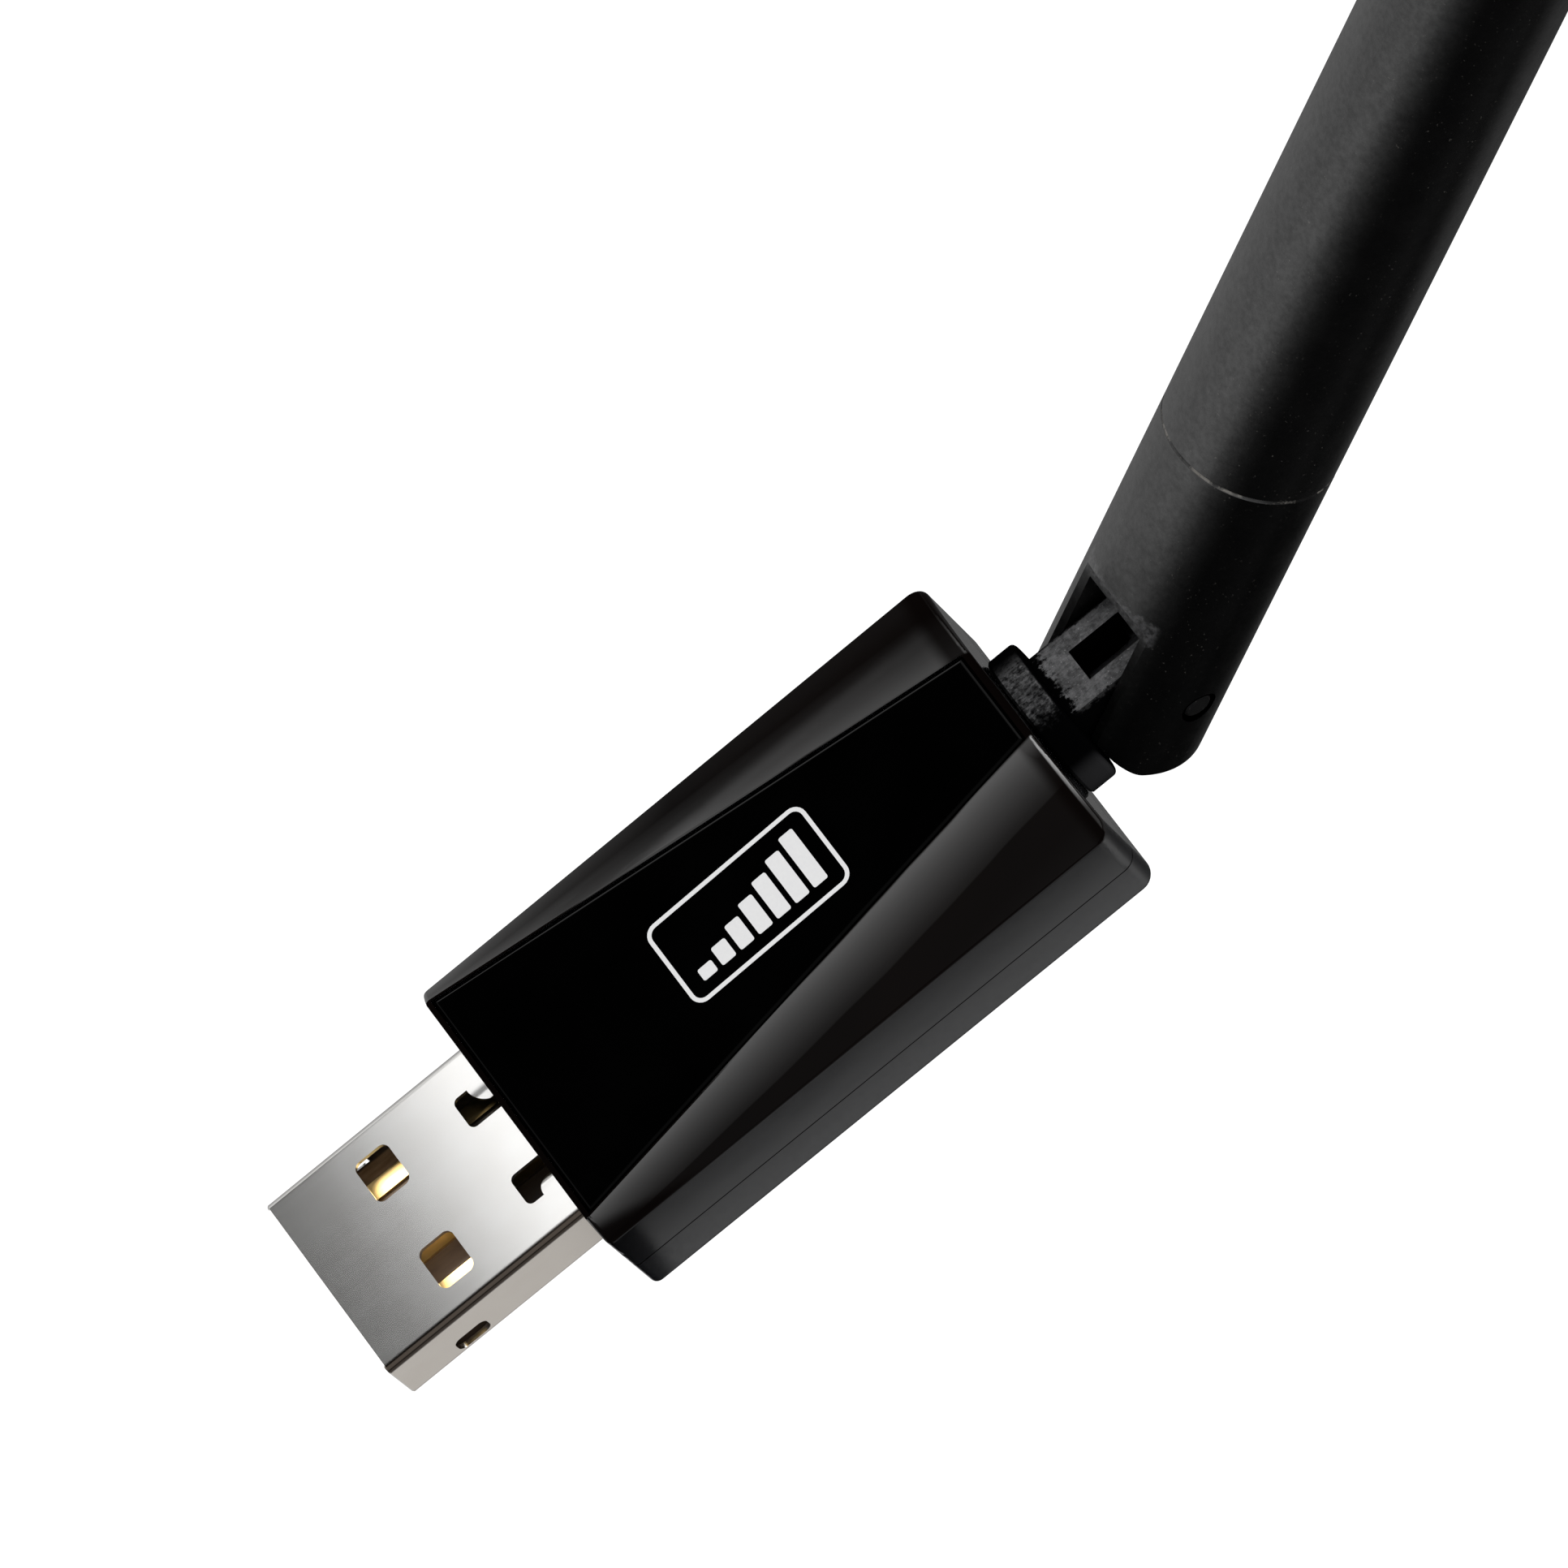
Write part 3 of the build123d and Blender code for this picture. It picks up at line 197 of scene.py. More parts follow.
class Look(Graph):
    """A principled material with its coordinates in millimetres."""

    def __init__(self, name):
        self.data = bpy.data.materials.new(name)
        self.data.use_nodes = True
        super().__init__(self.data.node_tree, spare_inputs=(0.0,))
        self.out = self.new("ShaderNodeOutputMaterial")
        self.bsdf = self.new("ShaderNodeBsdfPrincipled")
        self.put(self.out.inputs["Surface"], self.bsdf.outputs["BSDF"])
        coords = self.new("ShaderNodeTexCoord").outputs["Object"]
        per_metre = 1000
        self.mm = self.new("ShaderNodeMapping", Vector=coords, Scale=(per_metre,) * 3
                           ).outputs["Vector"]

    def set(self, **inputs):
        for key, value in inputs.items():
            self.put(self.bsdf.inputs[key.replace("_", " ")], value)

    def position(self):
        return self.split(self.mm)

    def normal(self):
        return self.split(self.new("ShaderNodeNewGeometry").outputs["Normal"])

    def scaled(self, scale, turn=(0, 0, 0)):
        return self.new("ShaderNodeMapping", Vector=self.mm, Scale=scale, Rotation=turn
                        ).outputs["Vector"]

    def noise(self, scale=1.0, detail=3.0, rough=0.5, vector=None):
        return self.new("ShaderNodeTexNoise", Vector=vector or self.mm, Scale=scale,
                        Detail=detail, Roughness=rough).outputs["Fac"]

    def cells(self, scale, vector=None):
        return self.new("ShaderNodeTexVoronoi", Vector=vector or self.mm, Scale=scale
                        ).outputs["Distance"]

    def spread(self, noise, to=(0, 1)):
        """Stretch the middle of a noise's range."""
        return self.remap(noise, over=(0.3, 0.7), to=to)

    def mix(self, factor, first, second):
        node = self.new("ShaderNodeMix", {"data_type": "RGBA"})
        # sockets 6 and 7 are the two colours
        for index, value in ((0, factor), (6, first), (7, second)):
            self.put(node.inputs[index], value)
        return node.outputs[2]

    def ramp(self, factor, stops):
        node = self.new("ShaderNodeValToRGB", Fac=factor)
        elements = node.color_ramp.elements
        while len(elements) > 1:
            elements.remove(elements[-1])
        elements[0].position, elements[0].color = stops[0][0], rgba(stops[0][1])
        for position, colour in stops[1:]:
            elements.new(position).color = rgba(colour)
        return node.outputs["Color"]

    def bump(self, height, strength, distance):
        node = self.new("ShaderNodeBump", Height=height, Strength=strength,
                        Distance=distance * MM)
        self.set(Normal=node.outputs["Normal"])


# ---------------------------------------------------------------------------
# housing materials
# ---------------------------------------------------------------------------
def painted_flank_sheen(mat, x, y, z, cloud):
    """Painted sheen: specular level of the housing away from its upright sides, set by position.
    """
    # across is 0 beside the panel, 1 at the crease
    panel_edge = mat.remap(x, over=HOUSING_X, to=PANEL_HALF_WIDTH)
    across = mat.div(mat.sub(mat.size(y), panel_edge), mat.sub(CREASE_Y, panel_edge))
    across = mat.add(across, mat.remap(cloud, over=(0.35, 0.65), to=(-0.015, 0.015)))
    sheen_end = mat.remap(x, over=HOUSING_X, to=NEAR_SHEEN_END)
    near = mat.ramp(mat.mul(mat.div(across, sheen_end), 0.5), NEAR_FLANK)
    far = mat.larger(mat.ramp(across, FAR_FLANK),
                     mat.ramp(mat.remap(x, over=HOUSING_X), FAR_FLANK_LENGTHWISE))
    # the painted sheen bands stop short of the antenna end, the rounded end edge itself keeps its
    # specular level
    far_fade = mat.smooth(x, over=(HOUSING_END - 1.9, HOUSING_END - 0.9), to=(1, 0.10))
    near_fade = mat.larger(
        mat.smooth(x, over=(HOUSING_END - 1.35, HOUSING_END - 0.55), to=(1, 0.12)),
        mat.smooth(across, over=(0, 0.25), to=(0.55, 0)))
    near_fade = mat.larger(near_fade, mat.smooth(x, over=END_EDGE))
    far = mat.mul(far, far_fade)
    near = mat.mul(near, near_fade)
    flank = mat.mix(mat.smooth(y, over=(-0.5, 0.5)), near, far)
    # painted highlight along the rounded end edge, drawn in the specular level
    end_edge_highlight = mat.mul(mat.smooth(x, over=END_EDGE),
                       mat.smooth(across, over=(0.50, 0.78), to=(0.95, 0.25)),
                       mat.smooth(y, over=(-0.5, 0.5), to=(1, 0.15)))
    flank = mat.larger(flank, end_edge_highlight)
    # no painted sheen inside the panel's edge
    flank = mat.mix(mat.smooth(across, over=(-0.035, -0.005), to=(1, 0)), flank, 0.0)
    # the underside is a plain face of even gloss
    return mat.mix(mat.smooth(z, over=(-3.6, -3.2), to=(1, 0)), flank, 0.28)


def gloss_black(name, rough=0.085):
    """Gloss black moulding: painted sheen strongest beside the panel; softer, greyer upright
    sides, painted lighter towards the bottom.
    """
    mat = Look(name)
    x, y, z = mat.position()
    upright = mat.smooth(mat.size(mat.normal()[2]), over=(0.10, 0.42), to=(1, 0))
    cloud = mat.noise(scale=0.11, detail=2.0)
    fine = mat.noise(scale=2.2, detail=4.0, rough=0.6)
    long_scratches = mat.noise(detail=5.0, rough=0.65,
                               vector=mat.scaled((0.12, 5.5, 5.5), turn=(0.1, 0.05, 0.35)))
    cross_scratches = mat.noise(detail=4.0, rough=0.6,
                                vector=mat.scaled((4.5, 0.15, 4.0), turn=(0, 0.1, -0.2)))
    flank = painted_flank_sheen(mat, x, y, z, cloud)
    # shadowed joint between the two halves
    joint = mat.smooth(mat.size(mat.sub(z, SHELL_JOINT_Z)), over=(0.03, 0.11), to=(0.35, 1))
    upright_sheen = 0.5
    specular = mat.mix(upright, flank, mat.mul(joint, upright_sheen))
    base = mat.mix(mat.remap(cloud, over=(0.35, 0.65)),
                   (0.0022, 0.0014, 0.0012), (0.0016, 0.0011, 0.0010))
    # upright sides: base colour painted lighter towards the bottom, painted light
    side_top, side_low_painted_light = (0.003, 0.003, 0.0034), (0.007, 0.0072, 0.008)
    side = mat.mix(mat.smooth(z, over=(-4.6, 4.2), to=(1, 0)), side_top, side_low_painted_light)
    side = mat.mix(joint, 0.001, side)
    roughness = mat.add(mat.remap(fine, over=(0.35, 0.75), to=(rough * 0.8, rough * 1.3)),
                        mat.remap(long_scratches, over=(0.62, 0.75), to=(0, 0.05)),
                        mat.remap(cross_scratches, over=(0.64, 0.78), to=(0, 0.04)))
    mat.set(Base_Color=mat.mix(upright, base, side), Roughness=roughness,
            Specular_IOR_Level=specular)
    # faint moulding waviness
    mat.bump(mat.noise(scale=0.35, detail=1.0), strength=0.08, distance=0.05)
    return mat.data


def panel_black(name):
    """Deep, even black of the inlay, glossy in roughness but given no specular level on its flat
    top, so it shows no reflection, with a painted sheen on its far rounded edge.
    """
    mat = Look(name)
    cloud = mat.noise(scale=0.2, detail=2.0)
    fine = mat.noise(scale=3.0, detail=4.0, rough=0.6)
    _, normal_y, normal_z = mat.normal()
    # painted sheen: specular level only on the rounded edges that face +Y
    edge = mat.mul(mat.smooth(normal_z, over=(0.9965, 0.93)),
                   mat.smooth(normal_y, over=(0, 0.12), to=(0.10, 1)))
    edge_sheen = 0.30
    mat.set(Base_Color=mat.mix(mat.spread(cloud), 0.0005, 0.0002),
            Roughness=mat.spread(fine, to=(0.10, 0.15)),
            Specular_IOR_Level=mat.mix(edge, 0.0, edge_sheen))
    mat.bump(mat.noise(scale=0.3, detail=1.0), strength=0.03, distance=0.04)
    return mat.data


# ---------------------------------------------------------------------------
# antenna materials
# ---------------------------------------------------------------------------
def along_rod(mat, x, z):
    return mat.add(mat.mul(mat.sub(x, PIVOT_X), ROD_COS), mat.mul(mat.sub(z, PIVOT_Z), ROD_SIN))


def across_rod(mat, x, z):
    return mat.sub(mat.mul(mat.sub(z, PIVOT_Z), ROD_COS), mat.mul(mat.sub(x, PIVOT_X), ROD_SIN))


def scuff_fork_and_shade_pin(mat, x, y, z, along, base, specular):
    """Ragged pale band across the fork's top, and painted shade in a ring round the pin."""
    across = across_rod(mat, x, z)
    jag = mat.remap(mat.noise(scale=3.0, detail=5.0, rough=0.7), over=(0.35, 0.65),
                    to=(-0.25, 0.25))
    band = mat.mul(mat.smooth(mat.add(along, jag), over=(4.0, 4.5)),
                   mat.smooth(mat.add(along, jag), over=(6.0, 5.6)),
                   mat.smooth(across, over=(3.7, 3.95)))
    # painted shade: dark base and no specular level in a ring round the pin
    ring_radius = 0.95
    radius = mat.math("SQRT", mat.add(mat.mul(along, along), mat.mul(across, across)))
    ring = mat.mul(
        mat.smooth(mat.size(mat.sub(radius, ring_radius)), over=(0.07, 0.14), to=(1, 0)),
        mat.smooth(mat.size(y), over=(3.2, 3.6)))
    base = mat.mix(ring, base, 0.0)
    specular = mat.mul(specular, mat.remap(ring, over=(0, 1), to=(1, 0)))
    mottle = mat.remap(mat.noise(scale=4.0, detail=4.0, rough=0.6), over=(0.40, 0.62),
                       to=(0.1, 0.6))
    return mat.mix(mat.mul(band, mottle), base, (0.060, 0.060, 0.062)), specular


def matte_black(name, shade, spec=0.5, grain=14.0, rough=0.50, shaded_side_share=0.15, speck=2.6,
                scuffed=False):
    """Grained black; speck is the specks' brightness over the shade, the share argument the part
    of the specular level left on the near side, where shade is painted."""
    mat = Look(name)
    _, normal_y, normal_z = mat.normal()
    grainy = mat.noise(scale=grain, rough=0.6)
    coarse = mat.noise(scale=0.5, rough=0.55)
    pebbles = mat.cells(scale=grain * 0.42)
    specks = mat.noise(scale=3.4, detail=2.0)
    base = mat.mix(mat.spread(coarse), (shade * 0.85, shade * 0.85, shade * 0.88),
                   (shade * 1.15, shade * 1.14, shade * 1.15))
    base = mat.mix(mat.remap(specks, over=(0.70, 0.76), to=(0, 0.35)), base, shade * speck)
    roughness = mat.add(mat.spread(grainy, to=(rough - 0.04, rough + 0.05)),
                        mat.spread(coarse, to=(-0.03, 0.03)))
    # painted shade: faces turned to the near side get less specular level and give back less of
    # the room
    worn = mat.mul(mat.smooth(normal_y, over=(-0.52, -0.78)),
                   mat.smooth(normal_z, over=(-0.20, 0.10)))
    specular = mat.remap(worn, over=(0, 1), to=(spec, spec * shaded_side_share))
    x, y, z = mat.position()
    along = along_rod(mat, x, z)
    # fine pale dust and a mottled skin
    dust = mat.mul(mat.remap(mat.noise(scale=5.5, detail=2.0), over=(0.69, 0.74)),
                   mat.remap(mat.noise(scale=0.35, detail=2.0), over=(0.40, 0.62),
                             to=(0.15, 1)))
    base = mat.mix(mat.mul(dust, 0.55), base, (0.060, 0.057, 0.052))
    skin = mat.remap(mat.noise(scale=2.4, detail=4.0, rough=0.62), over=(0.34, 0.66),
                     to=(0.80, 1.16))
    specular = mat.mul(specular, skin)
    # paler broken stretches along the joint between fork and rod: a painted seam highlight
    rubbed = mat.mul(
        mat.smooth(mat.size(mat.sub(along, ROD_JOINT)), over=(0.05, 0.13), to=(1, 0)),
        mat.remap(mat.noise(scale=0.75, detail=4.0, rough=0.7), over=(0.50, 0.60)))
    base = mat.mix(mat.mul(rubbed, 0.8), base, (0.17, 0.16, 0.145))
    # scuffed also lays the painted shade ring round the pin
    if scuffed:
        base, specular = scuff_fork_and_shade_pin(mat, x, y, z, along, base, specular)
    mat.set(Base_Color=base, Roughness=roughness, Specular_IOR_Level=specular)
    mat.bump(mat.add(mat.mul(grainy, 0.6), mat.mul(pebbles, 0.5)), strength=0.35,
             distance=0.010)
    return mat.data


def knuckle_black(name):
    """Matte moulding with a scuffed, fuzzy top, partly painted light, and flanks held darker as
    painted shade.
    """
    mat = Look(name)
    x, y, z = mat.position()
    fuzz = mat.noise(scale=3.2, detail=5.0, rough=0.7)
    fibres = mat.noise(detail=5.0, rough=0.7, vector=mat.scaled((2, 9, 5), turn=(0.2, 0.1, 0.5)))
    patch = mat.noise(scale=0.8, rough=0.6)
    facing_up = mat.smooth(mat.normal()[2], over=(0.55, 0.95))
    ragged = mat.add(mat.mul(fuzz, 0.6), mat.mul(fibres, 0.4))
    # the tongue's top is scuffed up to ragged edges, the hollow behind the collar stays black
    shift = mat.remap(ragged, over=(0.35, 0.65), to=(-0.45, 0.45))
    tongue = mat.mul(
        mat.smooth(mat.add(x, shift), over=(49.75, 50.15)),
        mat.smooth(mat.add(mat.size(y), mat.mul(shift, 0.6)), over=(1.95, 2.2), to=(1, 0)))
    # one scuffed patch on the collar
    collar = mat.mul(mat.smooth(x, over=(49.35, 49.2)),
                     mat.mul(mat.smooth(mat.add(y, shift), over=(-2.1, -0.3)),
                             mat.smooth(mat.add(y, shift), over=(2.9, 1.6))))
    collar = mat.mul(collar, mat.remap(ragged, over=(0.40, 0.56), to=(0.1, 0.75)))
    where = mat.larger(tongue, collar)
    # the pale scuff and its specular level go only on faces turned up: partly real scuff, partly
    # painted light on the top, with the sides held black as painted shade
    scuff_and_top_light = mat.mul(mat.mul(facing_up, where),
                    mat.remap(ragged, over=(0.38, 0.64), to=(0.35, 1)),
                    mat.remap(patch, over=(0.35, 0.6), to=(0.6, 1)))
    specks = mat.remap(mat.noise(scale=8.0, detail=2.0), over=(0.66, 0.72))
    specks = mat.mul(specks, where, facing_up)
    base = mat.mix(scuff_and_top_light, (0.0009, 0.0009, 0.0010), (0.105, 0.105, 0.108))
    base = mat.mix(mat.mul(specks, 0.5), base, 0.26)
    near_tip = mat.mul(mat.smooth(y, over=(-3.75, -4.3)), mat.smooth(z, over=(-2.6, 0.6)))
    base = mat.mix(mat.mul(near_tip, 0.9), base, (0.020, 0.020, 0.021))
    mat.set(Base_Color=base, Roughness=mat.spread(fuzz, to=(0.34, 0.46)),
            Specular_IOR_Level=mat.mul(scuff_and_top_light, 0.30))
    mat.bump(ragged, strength=0.5, distance=0.04)
    return mat.data


# ---------------------------------------------------------------------------
# general metal and plastic
# ---------------------------------------------------------------------------
def metal(name, color, rough, tint=0.08, brush=(0.4, 9.0, 9.0), bump=0.10):
    """Brushed metal; brush is the scale of its streaks along X, Y and Z."""
    mat = Look(name)
    streak = mat.noise(detail=4.0, rough=0.6, vector=mat.scaled(brush))
    blot = mat.noise(scale=0.7, rough=0.55)
    dark = tuple(channel * (1 - tint * 2) for channel in color)
    mat.set(Base_Color=mat.mix(mat.spread(blot), dark, color), Metallic=1.0,
            Roughness=mat.add(mat.spread(streak, to=(rough * 0.8, rough * 1.25)),
                              mat.spread(blot, to=(-0.02, 0.03))))
    mat.bump(streak, strength=bump, distance=0.006)
    return mat.data


def plastic(name, color, rough, vary=0.2, grain=4.0, bump=0.12, coat=0.0):
    """Plain moulding; vary is the strength of its colour blotches."""
    mat = Look(name)
    blot = mat.noise(scale=0.9)
    fine = mat.noise(scale=grain, rough=0.6)
    base = mat.mix(mat.spread(blot), tuple(channel * (1 - vary) for channel in color),
                   tuple(channel * (1 + vary * 0.5) for channel in color))
    mat.set(Base_Color=base, Roughness=mat.spread(fine, to=(rough - 0.05, rough + 0.06)),
            Specular_IOR_Level=0.5)
    if coat:
        mat.set(Coat_Weight=coat, Coat_Roughness=0.08)
    mat.bump(fine, strength=bump, distance=0.01)
    return mat.data


# ---------------------------------------------------------------------------
# plug and board materials
# ---------------------------------------------------------------------------
def nickel(name):
    """Bright nickel plate on folded sheet, with fine rolling streaks and small pits."""
    mat = Look(name)
    _, y, z = mat.position()
    streak = mat.noise(detail=5.0, rough=0.6, vector=mat.scaled((0.25, 7.0, 7.0)))
    blot = mat.noise(scale=0.5)
    pits = mat.noise(scale=9.0, detail=2.0)
    base = mat.mix(mat.spread(blot), (0.855, 0.845, 0.825), (0.885, 0.88, 0.865))
    base = mat.mix(mat.remap(pits, over=(0.72, 0.80), to=(0, 0.25)), base, (0.55, 0.50, 0.44))
    # painted reflection: dark brown band on the long folded corners, stronger on the near side
    corner = mat.mul(mat.smooth(mat.size(y), over=(5.50, 5.68)),
                     mat.smooth(mat.size(z), over=(1.74, 1.90)))
    near_side = mat.smooth(y, over=(-1, 1), to=(1, 0.35))
    base = mat.mix(mat.mul(corner, 0.97, near_side), base, (0.045, 0.032, 0.022))
    mat.set(Base_Color=base, Metallic=1.0,
            Roughness=mat.add(mat.spread(streak, to=(0.18, 0.20)),
                              mat.spread(blot, to=(-0.004, 0.004))))
    mat.bump(mat.add(mat.mul(streak, 0.7), mat.mul(pits, 0.3)), strength=0.05, distance=0.005)
    return mat.data


def shaded(mat, x, y, base):
    """Darker where the plug's shell and the housing shut the light out."""
    open_part = mat.mul(mat.smooth(x, over=(8.6, 9.6), to=(1, 0.12)),
                        mat.smooth(mat.size(y), over=(4.95, 5.10), to=(1, 0.15)))
    return mat.mix(open_part, (0.004, 0.003, 0.003), base)


def insulator(name):
    """Brown moulded thermoplastic with flow marks, painted lighter and greyer towards the near
    side.
    """
    mat = Look(name)
    x, y, _ = mat.position()
    flow = mat.noise(detail=4.0, rough=0.55, vector=mat.scaled((0.5, 2.2, 2.2)))
    grain = mat.noise(scale=9.0, rough=0.6)
    # painted light: lighter and greyer towards the near side
    base = mat.mix(mat.smooth(y, over=(-4.4, 3.5)), (0.19, 0.125, 0.085), (0.10, 0.055, 0.022))
    base = mat.mix(mat.remap(flow, over=(0.35, 0.65), to=(0, 0.5)), base, (0.25, 0.16, 0.09))
    mat.set(Base_Color=shaded(mat, x, y, base), Roughness=mat.spread(grain, to=(0.32, 0.42)),
            Specular_IOR_Level=0.25)
    mat.bump(grain, strength=0.10, distance=0.008)
    return mat.data


def gold(name):
    """Gold flash over nickel on the contact strips, rubbed along their length."""
    mat = Look(name)
    x, y, _ = mat.position()
    rub = mat.noise(detail=4.0, rough=0.6, vector=mat.scaled((0.4, 8.0, 8.0)))
    blot = mat.noise(scale=0.8)
    base = mat.mix(mat.spread(blot), (0.80, 0.56, 0.22), (0.92, 0.70, 0.34))
    base = mat.mix(mat.remap(rub, over=(0.60, 0.74), to=(0, 0.6)), base, (0.93, 0.83, 0.62))
    mat.set(Base_Color=shaded(mat, x, y, base), Metallic=1.0,
            Roughness=mat.spread(rub, to=(0.30, 0.42)))
    mat.bump(rub, strength=0.10, distance=0.006)
    return mat.data


def board(name):
    """Green solder mask with copper traces under it and round tinned pads."""
    mat = Look(name)
    flattened = (1, 1, 0.001)       # keeps the patterns alike through the thickness
    trace = mat.new("ShaderNodeTexBrick", Vector=mat.scaled(flattened), Scale=0.9,
                    Mortar_Size=0.05, Color1=0.0, Color2=0.15, Mortar=1.0).outputs["Fac"]
    weave = mat.noise(scale=2.5)
    base = mat.mix(mat.spread(weave), (0.012, 0.105, 0.038), (0.018, 0.14, 0.05))
    base = mat.mix(mat.mul(trace, 0.75), base, (0.035, 0.23, 0.085))
    pad = mat.smooth(mat.cells(scale=0.55, vector=mat.scaled(flattened)),
                     over=(0.10, 0.13), to=(1, 0))
    mat.set(Base_Color=mat.mix(pad, base, (0.62, 0.60, 0.55)),
            Roughness=mat.mix(pad, 0.30, 0.22), Metallic=mat.mul(pad, 0.9),
            Coat_Weight=0.4, Coat_Roughness=0.12)
    mat.bump(mat.add(mat.mul(trace, 0.6), mat.mul(weave, 0.2)), strength=0.3, distance=0.03)
    return mat.data


def ink(name):
    """Pale grey print, slightly worn."""
    mat = Look(name)
    grain = mat.noise(scale=5.0, detail=4.0, rough=0.6)
    worn = mat.noise(scale=1.2)
    base = mat.mix(mat.spread(grain), (0.645, 0.645, 0.65), 0.675)
    base = mat.mix(mat.remap(worn, over=(0.66, 0.8), to=(0, 0.2)), base, 0.55)
    mat.set(Base_Color=base, Roughness=mat.spread(grain, to=(0.45, 0.6)),
            Specular_IOR_Level=0.3)
    mat.bump(grain, strength=0.15, distance=0.004)
    return mat.data


LOOKS = {
    "top_shell": gloss_black("housing_gloss_upper"),
    "bottom_shell": gloss_black("housing_gloss_lower", rough=0.11),
    "top_inlay": panel_black("inlay_gloss"),
    "plug_shell": nickel("nickel_plate"),
    "plug_insulator": insulator("insulator_brown"),
    "contact": gold("gold_contact"),
    "circuit_board": board("solder_mask"),
    "radio_chip": plastic("chip_epoxy", (0.022, 0.022, 0.024), rough=0.45, grain=12.0),
    "rf_shield_frame": metal("tinned_steel", (0.72, 0.72, 0.70), rough=0.3, brush=(5, 0.6, 5)),
    "crystal_can": metal("crystal_steel", (0.78, 0.76, 0.72), rough=0.25, tint=0.06,
                         brush=(6, 0.5, 6)),
    "voltage_regulator": plastic("regulator_epoxy", (0.03, 0.03, 0.032), rough=0.5, grain=10.0),
    "power_inductor": plastic("ferrite", (0.085, 0.083, 0.08), rough=0.6, vary=0.25, grain=5.0),
    "ceramic_capacitors": plastic("ceramic_tan", (0.46, 0.33, 0.21), rough=0.42, vary=0.15),
    "chip_resistors": plastic("resistor_glaze", (0.035, 0.035, 0.045), rough=0.25, coat=0.3),
    "status_led": plastic("lamp_resin", (0.70, 0.80, 0.60), rough=0.2, vary=0.08, coat=0.5),
    "jacket": plastic("cable_jacket", (0.02, 0.02, 0.021), rough=0.42, grain=8.0),
    "copper": metal("bare_copper", (0.80, 0.45, 0.28), rough=0.26, brush=(6, 6, 6)),
    "ptfe": plastic("ptfe", (0.82, 0.82, 0.80), rough=0.45, vary=0.04),
    "brass": metal("sleeve_brass", (0.86, 0.66, 0.30), rough=0.28, brush=(1, 7, 7)),
    "braid": metal("tinned_braid", (0.66, 0.64, 0.60), rough=0.34, tint=0.12, brush=(9, 9, 9),
                   bump=0.3),
    "swivel_knuckle": knuckle_black("knuckle_worn_painted_top"),
    "antenna_fork": matte_black("fork_matte", shade=0.0012, rough=0.37, spec=0.43,
                                shaded_side_share=0.10, scuffed=True),
    "antenna_tube": matte_black("tube_matte", shade=0.0016, rough=0.36, spec=0.44,
                                shaded_side_share=0.12, speck=3.6),
    "pin": matte_black("pin_dark", shade=0.004, rough=0.36, grain=6.0),
    "foam": plastic("spacer_foam", (0.12, 0.12, 0.125), rough=0.8, vary=0.25, grain=3.0,
                    bump=0.5),
}
# pieces that share a look; every other piece has the look of its own name
SHARED = {
    "contact": ("contact_vbus", "contact_data_minus", "contact_data_plus", "contact_ground"),
    "jacket": ("coax_board_jacket", "coax_knuckle_jacket", "coax_antenna_jacket"),
    "copper": ("coax_board_core", "coax_knuckle_core", "radiator_wire"),
    "braid": ("coax_antenna_braid",),
    "ptfe": ("coax_antenna_dielectric",),
    "brass": ("radiator_sleeve",),
    "foam": ("tube_spacer_lower", "tube_spacer_upper"),
    "pin": ("hinge_pin_left", "hinge_pin_right"),
}
look_of = {piece: look for look, pieces in SHARED.items() for piece in pieces}
for name, node in nodes.items():
    node.data.materials.clear()
    node.data.materials.append(LOOKS[look_of.get(name, name)])


# ---------------------------------------------------------------------------
# object helpers
# ---------------------------------------------------------------------------
def link_object(name, data):
    made = bpy.data.objects.new(name, data)
    scene.collection.objects.link(made)
    return made


def axes_matrix(x_axis, y_axis, z_axis, origin):
    matrix = Matrix((x_axis, y_axis, z_axis)).transposed().to_4x4()
    matrix.translation = origin
    return matrix


def light_only(target, name, receivers):
    """Let a light or card reach the receivers only."""
    seen_by = bpy.data.collections.new(name)
    for receiver in receivers:
        seen_by.objects.link(receiver)
    target.light_linking.receiver_collection = seen_by


# ---------------------------------------------------------------------------
# badge: a plain outline with rising bars, printed on the inlay
# ---------------------------------------------------------------------------
def rounded(x0, y0, x1, y1, radius, steps=6):
    """Rounded rectangle, anticlockwise from its lower right corner."""
    points = []
    for centre_x, centre_y, start in ((x1 - radius, y0 + radius, -90),
                                      (x1 - radius, y1 - radius, 0),
                                      (x0 + radius, y1 - radius, 90),
                                      (x0 + radius, y0 + radius, 180)):
        for i in range(steps + 1):
            angle = math.radians(start + 90 * i / steps)
            points.append((centre_x + radius * math.cos(angle),
                           centre_y + radius * math.sin(angle)))
    return points


def inlay_matrix():
    """Frame of the badge: X up the inlay's slope, Z out of its top face."""
    slope = math.atan((INLAY_HIGH[1] - INLAY_LOW[1]) / (INLAY_HIGH[0] - INLAY_LOW[0]))
    x_axis = Vector((math.cos(slope), 0, math.sin(slope)))
    z_axis = Vector((-math.sin(slope), 0, math.cos(slope)))
    # the inlay's outermost vertex fixes the height of its top plane
    corner = max((vertex.co for vertex in nodes["top_inlay"].data.vertices),
                 key=lambda place: place.dot(z_axis))
    x = BADGE_X * MM
    centre = Vector((x, 0, (corner.dot(z_axis) - x * z_axis.x) / z_axis.z))
    lift = (INK_GAP + INK_THICKNESS / 2) * MM
    return axes_matrix(x_axis, Vector((0, 1, 0)), z_axis, centre + z_axis * lift)


